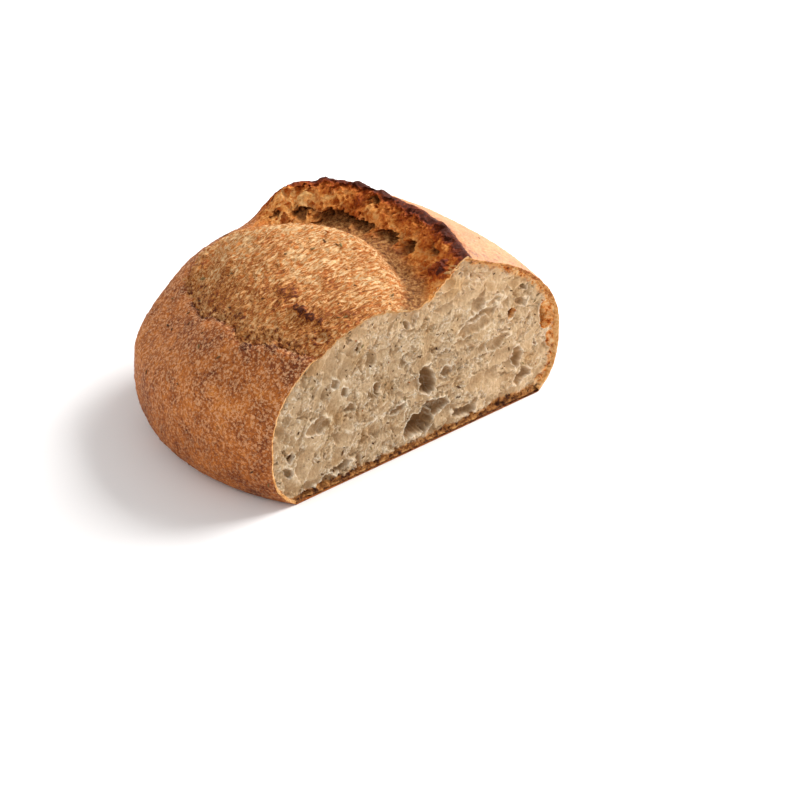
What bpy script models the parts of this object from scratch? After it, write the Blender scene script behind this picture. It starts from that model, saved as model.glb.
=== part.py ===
"""Half of a round sourdough loaf, cut across and scored once along its crown, as one closed solid.

The loaf stands on its base with +Z up. The cut face looks along -Y, and the ear, the raised flap of
crust beside the score, runs along the +X side. The origin is on the ground at the middle of the base.
"""

import math

import bmesh
import bpy
import numpy as np
from mathutils import Matrix, Vector, noise

# The whole loaf before it was cut, in metres. Plan positions count from its middle.
LOAF_WIDTH = 0.198
LOAF_LENGTH = 0.196
CROWN_HEIGHT = 0.080
CUT_BEFORE_MIDDLE = 0.045

# The dome's outline: 2 is an ellipse, and more is boxier.
PLAN_EXPONENT = 2.1
SIDE_EXPONENT = 2.8
BULGE_HEIGHT = 0.027
TUCK_UNDER = 0.042
DRIFT_LEFT = 0.055
RIGHT_DROOP = 0.0055
FAR_LEFT_DROOP = 0.0200
CROWN_RISE = 0.0070
CROWN_RISE_MIDDLE = Vector((-0.008, 0.028))
CROWN_RISE_REACH = 0.054

# The score. The ear's ridge and the valley beside it are arcs about one point.
SCORE_MIDDLE = Vector((-0.052, 0.006))
RIDGE_RADIUS = 0.100
WALL_WIDTH = 0.029
EAR_HEIGHT = 0.0190
EAR_HEIGHT_AT_CUT = 0.0125
EAR_LEAN = 0.0060
EAR_FALL_OUTWARD = 0.048
EAR_GROWTH_END = math.radians(30)
EAR_FADE_START = math.radians(42)
EAR_FADE_END = math.radians(60)
VALLEY_DEPTH = 0.0055
VALLEY_PIT_DEPTH = 0.0045
VALLEY_PIT_ANGLE = math.radians(-18)
VALLEY_PIT_REACH = math.radians(11)
SHOULDER_WIDTH = 0.016

# The lobe: dough that swelled through the score, inside the torn edge of the first skin.
LOBE_MIDDLE = Vector((-0.023, 0.010))
LOBE_HALF = Vector((0.049, 0.070))
LOBE_RISE = 0.0030
FURROW_DEPTH = 0.0016
FURROW_WIDTH = 0.0035
LIP_RISE = 0.0010

# Relief of the surfaces.
CRUST_SWELL = 0.0011
CRUST_SWELL_LENGTH = 0.028
CRAG_DEPTH = 0.0022
CRAG_LENGTH = 0.0075
STREAK_DEPTH = 0.0006
STREAK_SPACING = 0.0065

# Air pockets that the knife opened in the cut face, in mm: across from the middle, height, half width,
# half height and depth behind the face.
CUT_POCKETS = [
    (4.8, 33.4, 5.0, 7.4, 7.0),
    (9.0, 17.4, 8.8, 4.3, 5.0),
    (-0.7, 11.4, 9.4, 6.3, 9.0),
    (-9.6, 67.0, 2.4, 3.1, 3.0),
    (57.6, 49.0, 3.3, 3.2, 4.0),
    (49.5, 37.0, 7.8, 3.2, 2.5),
    (39.9, 54.8, 9.6, 3.2, 2.2),
    (62.4, 24.2, 3.3, 6.6, 4.0),
    (66.2, 12.6, 6.0, 3.3, 4.0),
    (79.4, 39.2, 4.8, 7.1, 4.0),
    (64.7, 52.9, 4.0, 2.7, 3.0),
    (-61.6, 34.1, 7.0, 3.6, 2.4),
    (-42.2, 36.3, 3.6, 2.6, 2.4),
    (28.0, 7.6, 7.8, 2.9, 5.0),
    (16.1, 33.4, 3.2, 2.7, 3.0),
    (-79.5, 17.2, 2.4, 2.8, 3.0),
    (-48.6, 6.8, 6.6, 2.3, 3.0),
    (-26.0, 40.9, 2.6, 3.1, 3.0),
]

# Hollows torn in the foot of the ear's wall, in mm: angle along the score in degrees, distance inward
# from the ridge, height, and half sizes along the score, across it and upward.
WALL_HOLLOWS = [
    (22.0, 20.0, 82.0, 12.5, 6.0, 4.6),
    (2.0, 19.5, 80.5, 7.0, 5.5, 4.4),
    (-7.5, 17.5, 80.0, 4.6, 5.0, 4.2),
    (38.0, 18.5, 82.5, 5.0, 4.5, 3.0),
    (12.0, 11.0, 90.5, 3.6, 3.0, 2.6),
    (-19.0, 16.0, 79.5, 4.0, 3.5, 3.0),
]

# Detail of the faceted solid.
CUBE_CUTS = 96
BODY_SHARE_KEPT = 0.135
POCKET_SUBDIVISIONS = 2
SHARP_ANGLE = math.radians(50)
BLOCK_SIZE = 0.4

# Colour as linear RGBA.
CRUST_COLOUR = (0.38, 0.20, 0.09, 1.0)
CRUST_ROUGHNESS = 0.8

CUT_Y = -CUT_BEFORE_MIDDLE


def smooth(low, high, value):
    """0 below low, 1 above high, and an S-shaped step between."""
    share = np.clip((value - low) / (high - low), 0.0, 1.0)
    return share * share * (3.0 - 2.0 * share)


def noise_at(points, length, seed=0.0):
    """Smooth noise from about -1 to 1 at each point, with bumps of this length."""
    shift = Vector((seed, 1.7 * seed, -seed))
    return np.array([noise.noise(Vector(p) / length + shift) for p in points])


def dome_points(directions):
    """Each direction from the bulge's middle carried out to the plain dome, its base flat on the ground."""
    half_width, half_length = LOAF_WIDTH / 2, LOAF_LENGTH / 2
    rise = CROWN_HEIGHT - BULGE_HEIGHT
    x, y = directions[:, 0] * half_width, directions[:, 1] * half_length
    z = directions[:, 2] * rise
    plan = (np.abs(x / half_width) ** PLAN_EXPONENT + np.abs(y / half_length) ** PLAN_EXPONENT) ** (
        1 / PLAN_EXPONENT
    )
    side = np.abs(z) / np.where(z > 0, rise, TUCK_UNDER)
    scale = (plan**SIDE_EXPONENT + side**SIDE_EXPONENT) ** (-1 / SIDE_EXPONENT)
    x, y, z = x * scale, y * scale, z * scale
    far_left = smooth(0.010, 0.085, -x) * smooth(-0.01, 0.06, y)
    droop = RIGHT_DROOP * smooth(0.055, half_width, x) + FAR_LEFT_DROOP * far_left
    middle = np.hypot(x - CROWN_RISE_MIDDLE.x, y - CROWN_RISE_MIDDLE.y)
    swell = CROWN_RISE * np.exp(-((middle / CROWN_RISE_REACH) ** 2))
    z = z + (swell - droop) * smooth(0.0, rise, z)
    return np.stack([x - DRIFT_LEFT * (y - CUT_Y), y, z + BULGE_HEIGHT], axis=1)


def score_coordinates(points):
    """Distance outward from the ear's ridge, and the angle along the score from straight right."""
    across = points[:, 0] - SCORE_MIDDLE.x
    along = points[:, 1] - SCORE_MIDDLE.y
    return np.hypot(across, along) - RIDGE_RADIUS, np.arctan2(along, across)


def lobe_level(points):
    """0 at the lobe's middle and 1 on the torn edge round it."""
    return np.hypot(
        (points[:, 0] - LOBE_MIDDLE.x) / LOBE_HALF.x, (points[:, 1] - LOBE_MIDDLE.y) / LOBE_HALF.y
    )


def score_share(angle):
    """How open the score is at this angle: 1 from the cut to past the middle, then fading to 0."""
    return 1.0 - smooth(EAR_FADE_START, EAR_FADE_END, angle)


def ear_rise(points):
    """Height that the ear, its torn wall and the valley add to the dome."""
    outward, angle = score_coordinates(points)
    open_share = score_share(angle)
    growth = smooth(0.0, EAR_GROWTH_END, angle)
    height = open_share * (EAR_HEIGHT_AT_CUT + (EAR_HEIGHT - EAR_HEIGHT_AT_CUT) * growth)
    pit = VALLEY_PIT_DEPTH * np.exp(-(((angle - VALLEY_PIT_ANGLE) / VALLEY_PIT_REACH) ** 2))
    depth = open_share * (VALLEY_DEPTH + pit)
    outer = height * np.clip(1.0 - outward / EAR_FALL_OUTWARD, 0.0, 1.0) ** 2
    up_wall = np.clip(1.0 + outward / WALL_WIDTH, 0.0, 1.0)
    wall = -depth + (height + depth) * (0.35 * up_wall + 0.65 * smooth(0.0, 1.0, up_wall))
    shoulder = -depth * (1.0 - smooth(0.0, SHOULDER_WIDTH, -WALL_WIDTH - outward))
    return np.where(outward > 0, outer, np.where(outward > -WALL_WIDTH, wall, shoulder))


def ear_lean(points):
    """Sideways shift, in the plan, that tips the ridge over the valley."""
    outward, angle = score_coordinates(points)
    amount = EAR_LEAN * score_share(angle) * np.exp(-((outward / 0.012) ** 2))
    return np.stack([-np.cos(angle) * amount, -np.sin(angle) * amount], axis=1)


def lobe_rise(points):
    """Height of the lobe, the furrow at its torn edge and the lip of old skin outside the furrow."""
    level = lobe_level(points)
    outward, _ = score_coordinates(points)
    left_side = smooth(0.004, 0.024, -WALL_WIDTH - outward)
    past_edge = (level - 1.0) * LOBE_HALF.x
    lobe = LOBE_RISE * smooth(0.0, 0.020, -past_edge)
    furrow = -FURROW_DEPTH * np.exp(-((past_edge / FURROW_WIDTH) ** 2))
    lip = LIP_RISE * np.exp(-(((past_edge - FURROW_WIDTH) / FURROW_WIDTH) ** 2))
    return left_side * (lobe + furrow + lip)


def relief(points):
    """Outward relief: slow swelling of the crust, crags on the torn wall, streaks across the lobe."""
    outward, angle = score_coordinates(points)
    on_wall = score_share(angle) * smooth(-WALL_WIDTH - 0.004, -WALL_WIDTH + 0.006, outward)
    on_wall *= 1.0 - smooth(-0.002, 0.004, outward)
    on_lobe = smooth(0.0, 0.15, 1.0 - lobe_level(points)) * smooth(0.0, 0.008, -WALL_WIDTH - outward)
    swell = CRUST_SWELL * noise_at(points, CRUST_SWELL_LENGTH)
    crag = CRAG_DEPTH * noise_at(points, CRAG_LENGTH, seed=3.0)
    stretched = points * np.array([0.22, 1.0, 1.0])
    streak = STREAK_DEPTH * noise_at(stretched, STREAK_SPACING, seed=7.0)
    above_base = smooth(0.0, 0.010, points[:, 2])
    return above_base * (swell + on_wall * crag + on_lobe * streak)


def outward_normals(points):
    """Rough unit normals of the dome, enough to push relief along."""
    middle = np.array([0.0, 0.0, BULGE_HEIGHT])
    rays = (points - middle) / np.array([LOAF_WIDTH, LOAF_LENGTH, CROWN_HEIGHT])
    return rays / np.linalg.norm(rays, axis=1, keepdims=True)


def loaf_points(directions):
    """The whole loaf's surface for each direction of a unit sphere."""
    dome = dome_points(directions)
    crown = smooth(BULGE_HEIGHT, BULGE_HEIGHT + 0.028, dome[:, 2])
    shaped = dome.copy()
    shaped[:, 2] += crown * (ear_rise(dome) + lobe_rise(dome))
    shaped[:, :2] += crown[:, None] * ear_lean(dome)
    shaped += outward_normals(dome) * relief(dome)[:, None]
    return shaped


def cube_sphere(mesh):
    """A subdivided cube's vertices as directions of a unit sphere, evenly spread."""
    bmesh.ops.create_cube(mesh, size=2.0)
    bmesh.ops.subdivide_edges(mesh, edges=mesh.edges[:], cuts=CUBE_CUTS, use_grid_fill=True)
    corners = np.array([v.co for v in mesh.verts])
    spread = np.tan(corners * math.pi / 4)
    return spread / np.linalg.norm(spread, axis=1, keepdims=True)


def whole_loaf():
    """The loaf before it was cut, running a little below the ground."""
    mesh = bmesh.new()
    directions = cube_sphere(mesh)
    for vertex, place in zip(mesh.verts, loaf_points(directions)):
        vertex.co = place
    bmesh.ops.recalc_face_normals(mesh, faces=mesh.faces)
    return mesh


def block(middle):
    """A large cube about this point."""
    mesh = bmesh.new()
    bmesh.ops.create_cube(mesh, size=BLOCK_SIZE, matrix=Matrix.Translation(middle))
    return mesh


def pocket(middle, half_sizes, turn=0.0):
    """An egg-shaped pocket with these half sizes, turned about the vertical."""
    sizes = Matrix.Diagonal((*half_sizes, 1.0))
    mesh = bmesh.new()
    bmesh.ops.create_icosphere(
        mesh,
        subdivisions=POCKET_SUBDIVISIONS,
        radius=1.0,
        matrix=Matrix.Translation(middle) @ Matrix.Rotation(turn, 4, "Z") @ sizes,
    )
    return mesh


def cutting_shapes():
    """What is taken away: the ground, the part that was sliced off, and the pockets of air."""
    shapes = [block((0, 0, -BLOCK_SIZE / 2)), block((0, CUT_Y - BLOCK_SIZE / 2, 0))]
    for across, height, half_width, half_height, depth in CUT_POCKETS:
        middle = Vector((across / 1000, CUT_Y, height / 1000))
        shapes.append(pocket(middle, (half_width / 1000, depth / 1000, half_height / 1000)))
    for degrees, inward, height, half_long, half_across, half_high in WALL_HOLLOWS:
        angle = math.radians(degrees)
        radius = RIDGE_RADIUS - inward / 1000
        middle = Vector(
            (
                SCORE_MIDDLE.x + radius * math.cos(angle),
                SCORE_MIDDLE.y + radius * math.sin(angle),
                height / 1000,
            )
        )
        shapes.append(pocket(middle, (half_across / 1000, half_long / 1000, half_high / 1000), angle))
    return shapes


def linked_object(name, mesh, collection):
    """The bmesh as an object of this name in the collection."""
    data = bpy.data.meshes.new(name)
    mesh.to_mesh(data)
    mesh.free()
    made = bpy.data.objects.new(name, data)
    collection.objects.link(made)
    return made


def carved_mesh(body, cutters):
    """The body's mesh with fewer facets and every cutter taken away from it."""
    fewer = body.modifiers.new("Fewer facets", "DECIMATE")
    fewer.ratio = BODY_SHARE_KEPT
    carve = body.modifiers.new("Cuts and pockets", "BOOLEAN")
    carve.operand_type = "COLLECTION"
    carve.collection = cutters
    carve.solver = "EXACT"
    evaluated = body.evaluated_get(bpy.context.evaluated_depsgraph_get())
    return bpy.data.meshes.new_from_object(evaluated)


def bread_material():
    """Matte golden-brown crust."""
    material = bpy.data.materials.new("bread crust")
    material.use_nodes = True
    shader = material.node_tree.nodes["Principled BSDF"]
    shader.inputs["Base Color"].default_value = CRUST_COLOUR
    shader.inputs["Roughness"].default_value = CRUST_ROUGHNESS
    return material


def main():
    """Builds the loaf and centres it over the origin."""
    for old in list(bpy.data.objects):
        bpy.data.objects.remove(old)
    scene = bpy.context.scene
    body = linked_object("whole loaf", whole_loaf(), scene.collection)
    cutters = bpy.data.collections.new("cutters")
    scene.collection.children.link(cutters)
    for shape in cutting_shapes():
        linked_object("cutter", shape, cutters)
    carved = carved_mesh(body, cutters)
    for used in [body, *cutters.objects]:
        bpy.data.objects.remove(used)
    bpy.data.collections.remove(cutters)

    places = np.array([v.co for v in carved.vertices])
    middle = (places.min(axis=0) + places.max(axis=0)) / 2
    carved.transform(Matrix.Translation((-middle[0], -middle[1], 0)))
    carved.name = "loaf"
    carved.shade_smooth()
    carved.set_sharp_from_angle(angle=SHARP_ANGLE)
    carved.materials.append(bread_material())
    scene.collection.objects.link(bpy.data.objects.new("loaf", carved))


main()
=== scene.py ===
"""Looks of a cut sourdough loaf: its baked crust, its open crumb and the seed flecks in both.

The loaf stands on its base with +Z up and its cut face looking along -Y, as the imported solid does.
Every finished piece is built at the origin in metres, and stands for the solid's one node.
"""

from __future__ import annotations

import logging
import math
from dataclasses import dataclass, field
from enum import Enum

import bmesh
import bpy
import numpy as np
from mathutils import Matrix, Vector, noise
from mathutils.kdtree import KDTree


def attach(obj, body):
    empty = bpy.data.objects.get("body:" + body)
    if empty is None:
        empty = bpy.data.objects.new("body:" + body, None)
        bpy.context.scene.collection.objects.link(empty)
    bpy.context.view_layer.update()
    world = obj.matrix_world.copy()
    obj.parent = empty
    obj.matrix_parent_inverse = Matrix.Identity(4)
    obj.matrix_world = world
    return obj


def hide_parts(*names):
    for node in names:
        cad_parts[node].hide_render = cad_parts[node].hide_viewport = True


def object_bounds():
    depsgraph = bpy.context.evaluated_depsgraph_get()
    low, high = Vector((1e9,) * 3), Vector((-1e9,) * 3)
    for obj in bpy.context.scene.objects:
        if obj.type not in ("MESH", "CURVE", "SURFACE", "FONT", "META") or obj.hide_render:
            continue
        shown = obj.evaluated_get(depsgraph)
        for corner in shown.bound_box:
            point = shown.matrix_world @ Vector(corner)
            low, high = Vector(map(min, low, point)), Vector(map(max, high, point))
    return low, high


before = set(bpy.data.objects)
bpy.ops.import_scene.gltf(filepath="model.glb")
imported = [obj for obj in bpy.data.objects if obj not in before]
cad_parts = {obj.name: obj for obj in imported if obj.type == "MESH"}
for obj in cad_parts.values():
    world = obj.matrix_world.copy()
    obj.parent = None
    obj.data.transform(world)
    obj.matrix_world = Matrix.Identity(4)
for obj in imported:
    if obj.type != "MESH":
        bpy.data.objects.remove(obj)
CAD_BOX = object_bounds()

log = logging.getLogger("sourdough")

NODE = "loaf"
BODY = "root"
MM = 0.001
# Closer than this to a plane counts as on it.
ON_PLANE = 1e-6

# The box's middle lies this far from the whole loaf's middle along X.
SHIFT_X = 2.4 * MM

Numbers = float | np.ndarray


def smooth(low: float, high: float, value: Numbers) -> Numbers:
    """An S-shaped step.

    Args:
        low: value at which the step is 0.
        high: value at which the step is 1.
        value: number or array to step.

    Returns:
        The step's height, from 0 to 1, in the shape of value.
    """
    share = np.clip((value - low) / (high - low), 0.0, 1.0)
    return share * share * (3.0 - 2.0 * share)


def bell(value: Numbers, width: Numbers) -> Numbers:
    """A bell curve of this width: 1 where value is 0."""
    return np.exp(-((value / width) ** 2))


def noise_at(points: np.ndarray, length: float, seed: float = 0.0) -> np.ndarray:
    """Smooth noise from about -1 to 1 at each point, with bumps of this length."""
    shift = Vector((seed, 1.7 * seed, -seed))
    return np.array([noise.noise(Vector(p) / length + shift) for p in points])


def layered(points: np.ndarray, *layers: tuple[float, float, float]) -> np.ndarray:
    """Smooth noise added up in layers.

    Args:
        points: places, one a row.
        layers: each layer's height, length and seed.

    Returns:
        Heights, one a point.
    """
    return sum(height * noise_at(points, length, seed) for height, length, seed in layers)


def ridges_at(points: np.ndarray, length: float, seed: float = 0.0, octaves: int = 3) -> np.ndarray:
    """Crested noise.

    Args:
        points: places, one a row.
        length: how far apart the crests are.
        seed: which noise it is.
        octaves: how many layers it has.

    Returns:
        Heights, about 0 in its hollows and 1 on its crests.
    """
    shift = Vector((seed, 1.7 * seed, -seed))
    settings = (1.0, 2.1, octaves, 1.0, 2.0)
    values = [noise.ridged_multi_fractal(Vector(p) / length + shift, *settings) for p in points]
    return np.clip(np.array(values) / 1.9, 0.0, 1.2)


@dataclass(frozen=True)
class Dome:
    """Outline of the whole loaf before it was cut. Plan positions count from its middle.

    Attributes:
        width: its size along X.
        length: its size along Y.
        crown: height of the plain dome.
        cut_before_middle: how far before the middle it is cut.
        plan_exponent: how full the plan is, 2 for an ellipse.
        side_exponent: how full the sides are, 2 for an ellipse.
        bulge: height of its widest place.
        tuck_under: how far below the bulge the sides would meet.
        drift_left: how far it leans left for each length away from the cut.
        right_droop: how much lower the right side is.
        far_left_droop: how much lower the far left is.
        crown_rise: extra height of the crown.
        crown_rise_middle: where that is highest.
        crown_rise_reach: how wide that is.
    """

    width: float = 0.198
    length: float = 0.196
    crown: float = 0.080
    cut_before_middle: float = 0.045
    plan_exponent: float = 2.1
    side_exponent: float = 2.8
    bulge: float = 0.027
    tuck_under: float = 0.042
    drift_left: float = 0.055
    right_droop: float = 0.0055
    far_left_droop: float = 0.0200
    crown_rise: float = 0.0070
    crown_rise_middle: tuple[float, float] = (-0.008, 0.028)
    crown_rise_reach: float = 0.054

    @property
    def cut_y(self) -> float:
        """Where the cut plane lies."""
        return -self.cut_before_middle

    def points(self, directions: np.ndarray) -> np.ndarray:
        """Each direction from the bulge's middle carried out to the dome.

        Args:
            directions: unit vectors, one a row.

        Returns:
            Places on the dome, one a row.
        """
        half_width, half_length = self.width / 2, self.length / 2
        rise = self.crown - self.bulge
        x, y, z = (directions * np.array([half_width, half_length, rise])).T
        power = self.plan_exponent
        plan = (np.abs(x / half_width) ** power + np.abs(y / half_length) ** power) ** (1 / power)
        side = np.abs(z) / np.where(z > 0, rise, self.tuck_under)
        power = self.side_exponent
        scale = (plan**power + side**power) ** (-1 / power)
        x, y, z = x * scale, y * scale, z * scale
        far_left = smooth(0.010, 0.085, -x) * smooth(-0.01, 0.06, y)
        droop = self.right_droop * smooth(0.055, half_width, x) + self.far_left_droop * far_left
        middle = np.hypot(x - self.crown_rise_middle[0], y - self.crown_rise_middle[1])
        swell = self.crown_rise * bell(middle, self.crown_rise_reach)
        z = z + (swell - droop) * smooth(0.0, rise, z)
        return np.stack([x - self.drift_left * (y - self.cut_y), y, z + self.bulge], axis=1)


@dataclass(frozen=True)
class Score:
    """The score: the ear's ridge, the torn wall under it and the valley, as arcs about one point.

    Attributes:
        middle: that point in the plan.
        ridge_radius: radius of the ridge.
        wall: width of the torn wall in the plan.
        ear: the ear's full height over the dome.
        ear_at_cut: its height at the cut face.
        lean: how far the ridge tips over the valley.
        fall_outward: how far outward the ear's back reaches.
        growth_end: angle at which the ear has its full height.
        fade_start: angle at which the score begins to close.
        fade_end: angle at which it has closed.
        valley: depth of the valley.
        pit: extra depth of the valley near the cut.
        pit_angle: where that is deepest.
        pit_reach: how wide that is.
        shoulder: width of the valley's inner slope.
        tip_width: how far from the ridge the tipping reaches.
    """

    middle: tuple[float, float] = (-0.052, 0.006)
    ridge_radius: float = 0.100
    wall: float = 0.029
    ear: float = 0.0190
    ear_at_cut: float = 0.0125
    lean: float = 0.0060
    fall_outward: float = 0.048
    growth_end: float = math.radians(30)
    fade_start: float = math.radians(42)
    fade_end: float = math.radians(60)
    valley: float = 0.0055
    pit: float = 0.0045
    pit_angle: float = math.radians(-18)
    pit_reach: float = math.radians(11)
    shoulder: float = 0.016
    tip_width: float = 0.012

    def coordinates(self, points: np.ndarray) -> tuple[np.ndarray, np.ndarray]:
        """Distance outward from the ridge, and the angle along the score from straight right."""
        across, along = points[:, 0] - self.middle[0], points[:, 1] - self.middle[1]
        return np.hypot(across, along) - self.ridge_radius, np.arctan2(along, across)

    def share(self, angle: Numbers) -> Numbers:
        """How open the score is at this angle."""
        return 1.0 - smooth(self.fade_start, self.fade_end, angle)

    def rise(self, points: np.ndarray) -> np.ndarray:
        """Height that the ear, its wall and the valley add to the dome.

        Args:
            points: places on the plain dome, one a row.

        Returns:
            Heights, one a point.
        """
        outward, angle = self.coordinates(points)
        share = self.share(angle)
        grown = self.ear_at_cut + (self.ear - self.ear_at_cut) * smooth(0.0, self.growth_end, angle)
        height = share * grown
        depth = share * (self.valley + self.pit * bell(angle - self.pit_angle, self.pit_reach))
        outer = height * np.clip(1.0 - outward / self.fall_outward, 0.0, 1.0) ** 2
        up_wall = np.clip(1.0 + outward / self.wall, 0.0, 1.0)
        wall = -depth + (height + depth) * (0.35 * up_wall + 0.65 * smooth(0.0, 1.0, up_wall))
        shoulder = -depth * (1.0 - smooth(0.0, self.shoulder, -self.wall - outward))
        return np.where(outward > 0, outer, np.where(outward > -self.wall, wall, shoulder))

    def tip(self, points: np.ndarray) -> np.ndarray:
        """Sideways shift, in the plan, that tips the ridge over the valley.

        Args:
            points: places on the plain dome, one a row.

        Returns:
            Shifts in X and Y, one a row.
        """
        outward, angle = self.coordinates(points)
        amount = self.lean * self.share(angle) * bell(outward, self.tip_width)
        return np.stack([-np.cos(angle) * amount, -np.sin(angle) * amount], axis=1)


@dataclass(frozen=True)
class Lobe:
    """Dough that swelled through the score, inside the torn edge of the first skin.

    Attributes:
        middle: its middle in the plan.
        half: half its width and half its length.
        height: how far it stands out.
        furrow: depth of the furrow at the torn edge.
        furrow_width: half the width of the furrow.
        lip: height of the lip outside the furrow.
        sag: how far the torn edge sags outward near the cut, as a share of half.
        tear: where the skin tore further.
        tear_reach: how wide that tear is.
        tear_sag: how far it goes, as a share of half.
        inset: how far the edge lies inward on the far left, as a share of half.
    """

    middle: tuple[float, float] = (-0.023, 0.010)
    half: tuple[float, float] = (0.049, 0.070)
    height: float = 0.0030
    furrow: float = 0.0016
    furrow_width: float = 0.0035
    lip: float = 0.0010
    sag: float = 0.09
    tear: tuple[float, float] = (-0.0775, -0.0135)
    tear_reach: float = 0.0075
    tear_sag: float = 0.07
    inset: float = 0.08

    def level(self, points: np.ndarray) -> np.ndarray:
        """How far out points are from the lobe's middle. The torn edge sags outward near the cut.

        Args:
            points: places on the plain dome, one a row.

        Returns:
            Levels, 0 at the lobe's middle and 1 on the torn edge round it.
        """
        x, y = points[:, 0], points[:, 1]
        plain = np.hypot((x - self.middle[0]) / self.half[0], (y - self.middle[1]) / self.half[1])
        tear = self.tear_sag * bell(np.hypot(x - self.tear[0], y - self.tear[1]), self.tear_reach)
        sagged = self.sag * smooth(0.010, -0.012, y) + tear - self.inset * smooth(0.022, 0.048, y)
        return plain - sagged * smooth(-0.020, -0.045, x)

    def rise(self, points: np.ndarray, score: Score) -> np.ndarray:
        """Height of the lobe, of the furrow at its torn edge and of the lip outside it.

        Args:
            points: places on the plain dome, one a row.
            score: the score that bounds the lobe on its right.

        Returns:
            Heights, one a point.
        """
        outward, _ = score.coordinates(points)
        left_side = smooth(0.004, 0.024, -score.wall - outward)
        past_edge = (self.level(points) - 1.0) * self.half[0]
        lobe = self.height * smooth(0.0, 0.020, -past_edge)
        furrow = -self.furrow * bell(past_edge, self.furrow_width)
        lip = self.lip * bell(past_edge - self.furrow_width, self.furrow_width)
        return left_side * (lobe + furrow + lip)


class Zone(Enum):
    """Parts of the crust that differ in looks, as names of the attributes that say how much of each."""

    WALL = "wall"
    LOBE = "lobe"
    VALLEY = "valley"
    RIDGE = "ridge"
    OUTER = "outer"
    RIM = "rim"
    BURNT = "burnt"
    HOLLOW = "hollow"
    PIT = "pit"
    LOW = "low"
    EDGE = "edge"


@dataclass(frozen=True)
class Hollow:
    """An egg-shaped hollow torn in the foot of the ear's wall.

    Attributes:
        degrees: its angle along the score.
        inward: how far inside the ridge it lies, in mm.
        height: its height in mm.
        half_long: half its length along the score, in mm.
        half_across: half its depth into the wall, in mm.
        half_high: half its height in mm.
    """

    degrees: float
    inward: float
    height: float
    half_long: float
    half_across: float
    half_high: float


WALL_HOLLOWS = (
    Hollow(24.0, 23.0, 80.5, 13.0, 6.5, 4.8),
    Hollow(13.0, 22.0, 80.0, 6.0, 5.0, 3.6),
    Hollow(1.5, 21.5, 79.0, 8.5, 6.0, 4.2),
    Hollow(-8.0, 20.0, 78.5, 4.6, 5.0, 3.8),
    Hollow(37.0, 21.0, 81.0, 5.5, 4.5, 3.2),
    Hollow(47.0, 20.0, 79.5, 3.5, 3.5, 2.4),
    Hollow(14.0, 11.0, 90.0, 4.4, 3.0, 2.4),
    Hollow(-17.0, 14.0, 82.5, 4.0, 3.5, 3.0),
)


@dataclass(frozen=True)
class Mark:
    """One small thing on the crust: a lump, a blister, a scorched flake or a torn patch.

    Attributes:
        place: where it is, in mm.
        reach: its radius in mm.
        rise: how far it stands out, in mm.
        baked: how much darker it is than the crust round it.
        rim: how much darker its outline is.
    """

    place: tuple[float, float, float]
    reach: float
    rise: float
    baked: float
    rim: float = 0.0


MARKS = (
    Mark((19.2, -36.3, 80.9), 6.5, 3.0, 0.44),
    Mark((15.5, -41.0, 82.0), 3.0, 1.6, 0.40),
    Mark((-54.5, -38.5, 74.1), 4.2, -2.2, -0.10, 0.30),
    Mark((-52.5, -18.5, 79.6), 2.4, 1.9, 0.40),
    Mark((-51.7, -22.5, 79.2), 3.0, 2.5, 0.50),
    Mark((-51.3, -27.5, 78.4), 2.8, 2.3, 0.45),
    Mark((-49.8, -32.5, 77.6), 2.2, 1.4, 0.30),
    Mark((-74.7, -12.0, 71.8), 4.2, -1.0, -0.22, 0.10),
    Mark((-72.0, -19.0, 72.0), 3.4, -0.8, -0.16, 0.08),
    Mark((-74.5, -4.5, 72.4), 3.0, -0.6, -0.12, 0.08),
    Mark((-79.0, -16.0, 68.0), 3.4, 1.8, 0.18),
    Mark((-71.5, -26.0, 71.0), 3.8, 1.8, 0.22),
    Mark((-94.5, -10.0, 52.8), 5.5, 1.3, -0.06, 0.09),
    Mark((-62.0, 30.0, 71.0), 5.0, 1.6, 0.10),
    Mark((-45.0, 38.0, 77.0), 6.0, 1.5, 0.04),
    Mark((-46.0, 60.0, 68.0), 8.0, 2.4, 0.04),
    Mark((-36.0, 66.0, 70.0), 6.0, 1.8, 0.02),
    Mark((-48.0, -8.0, 82.0), 6.0, 0.9, 0.12),
)


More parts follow.
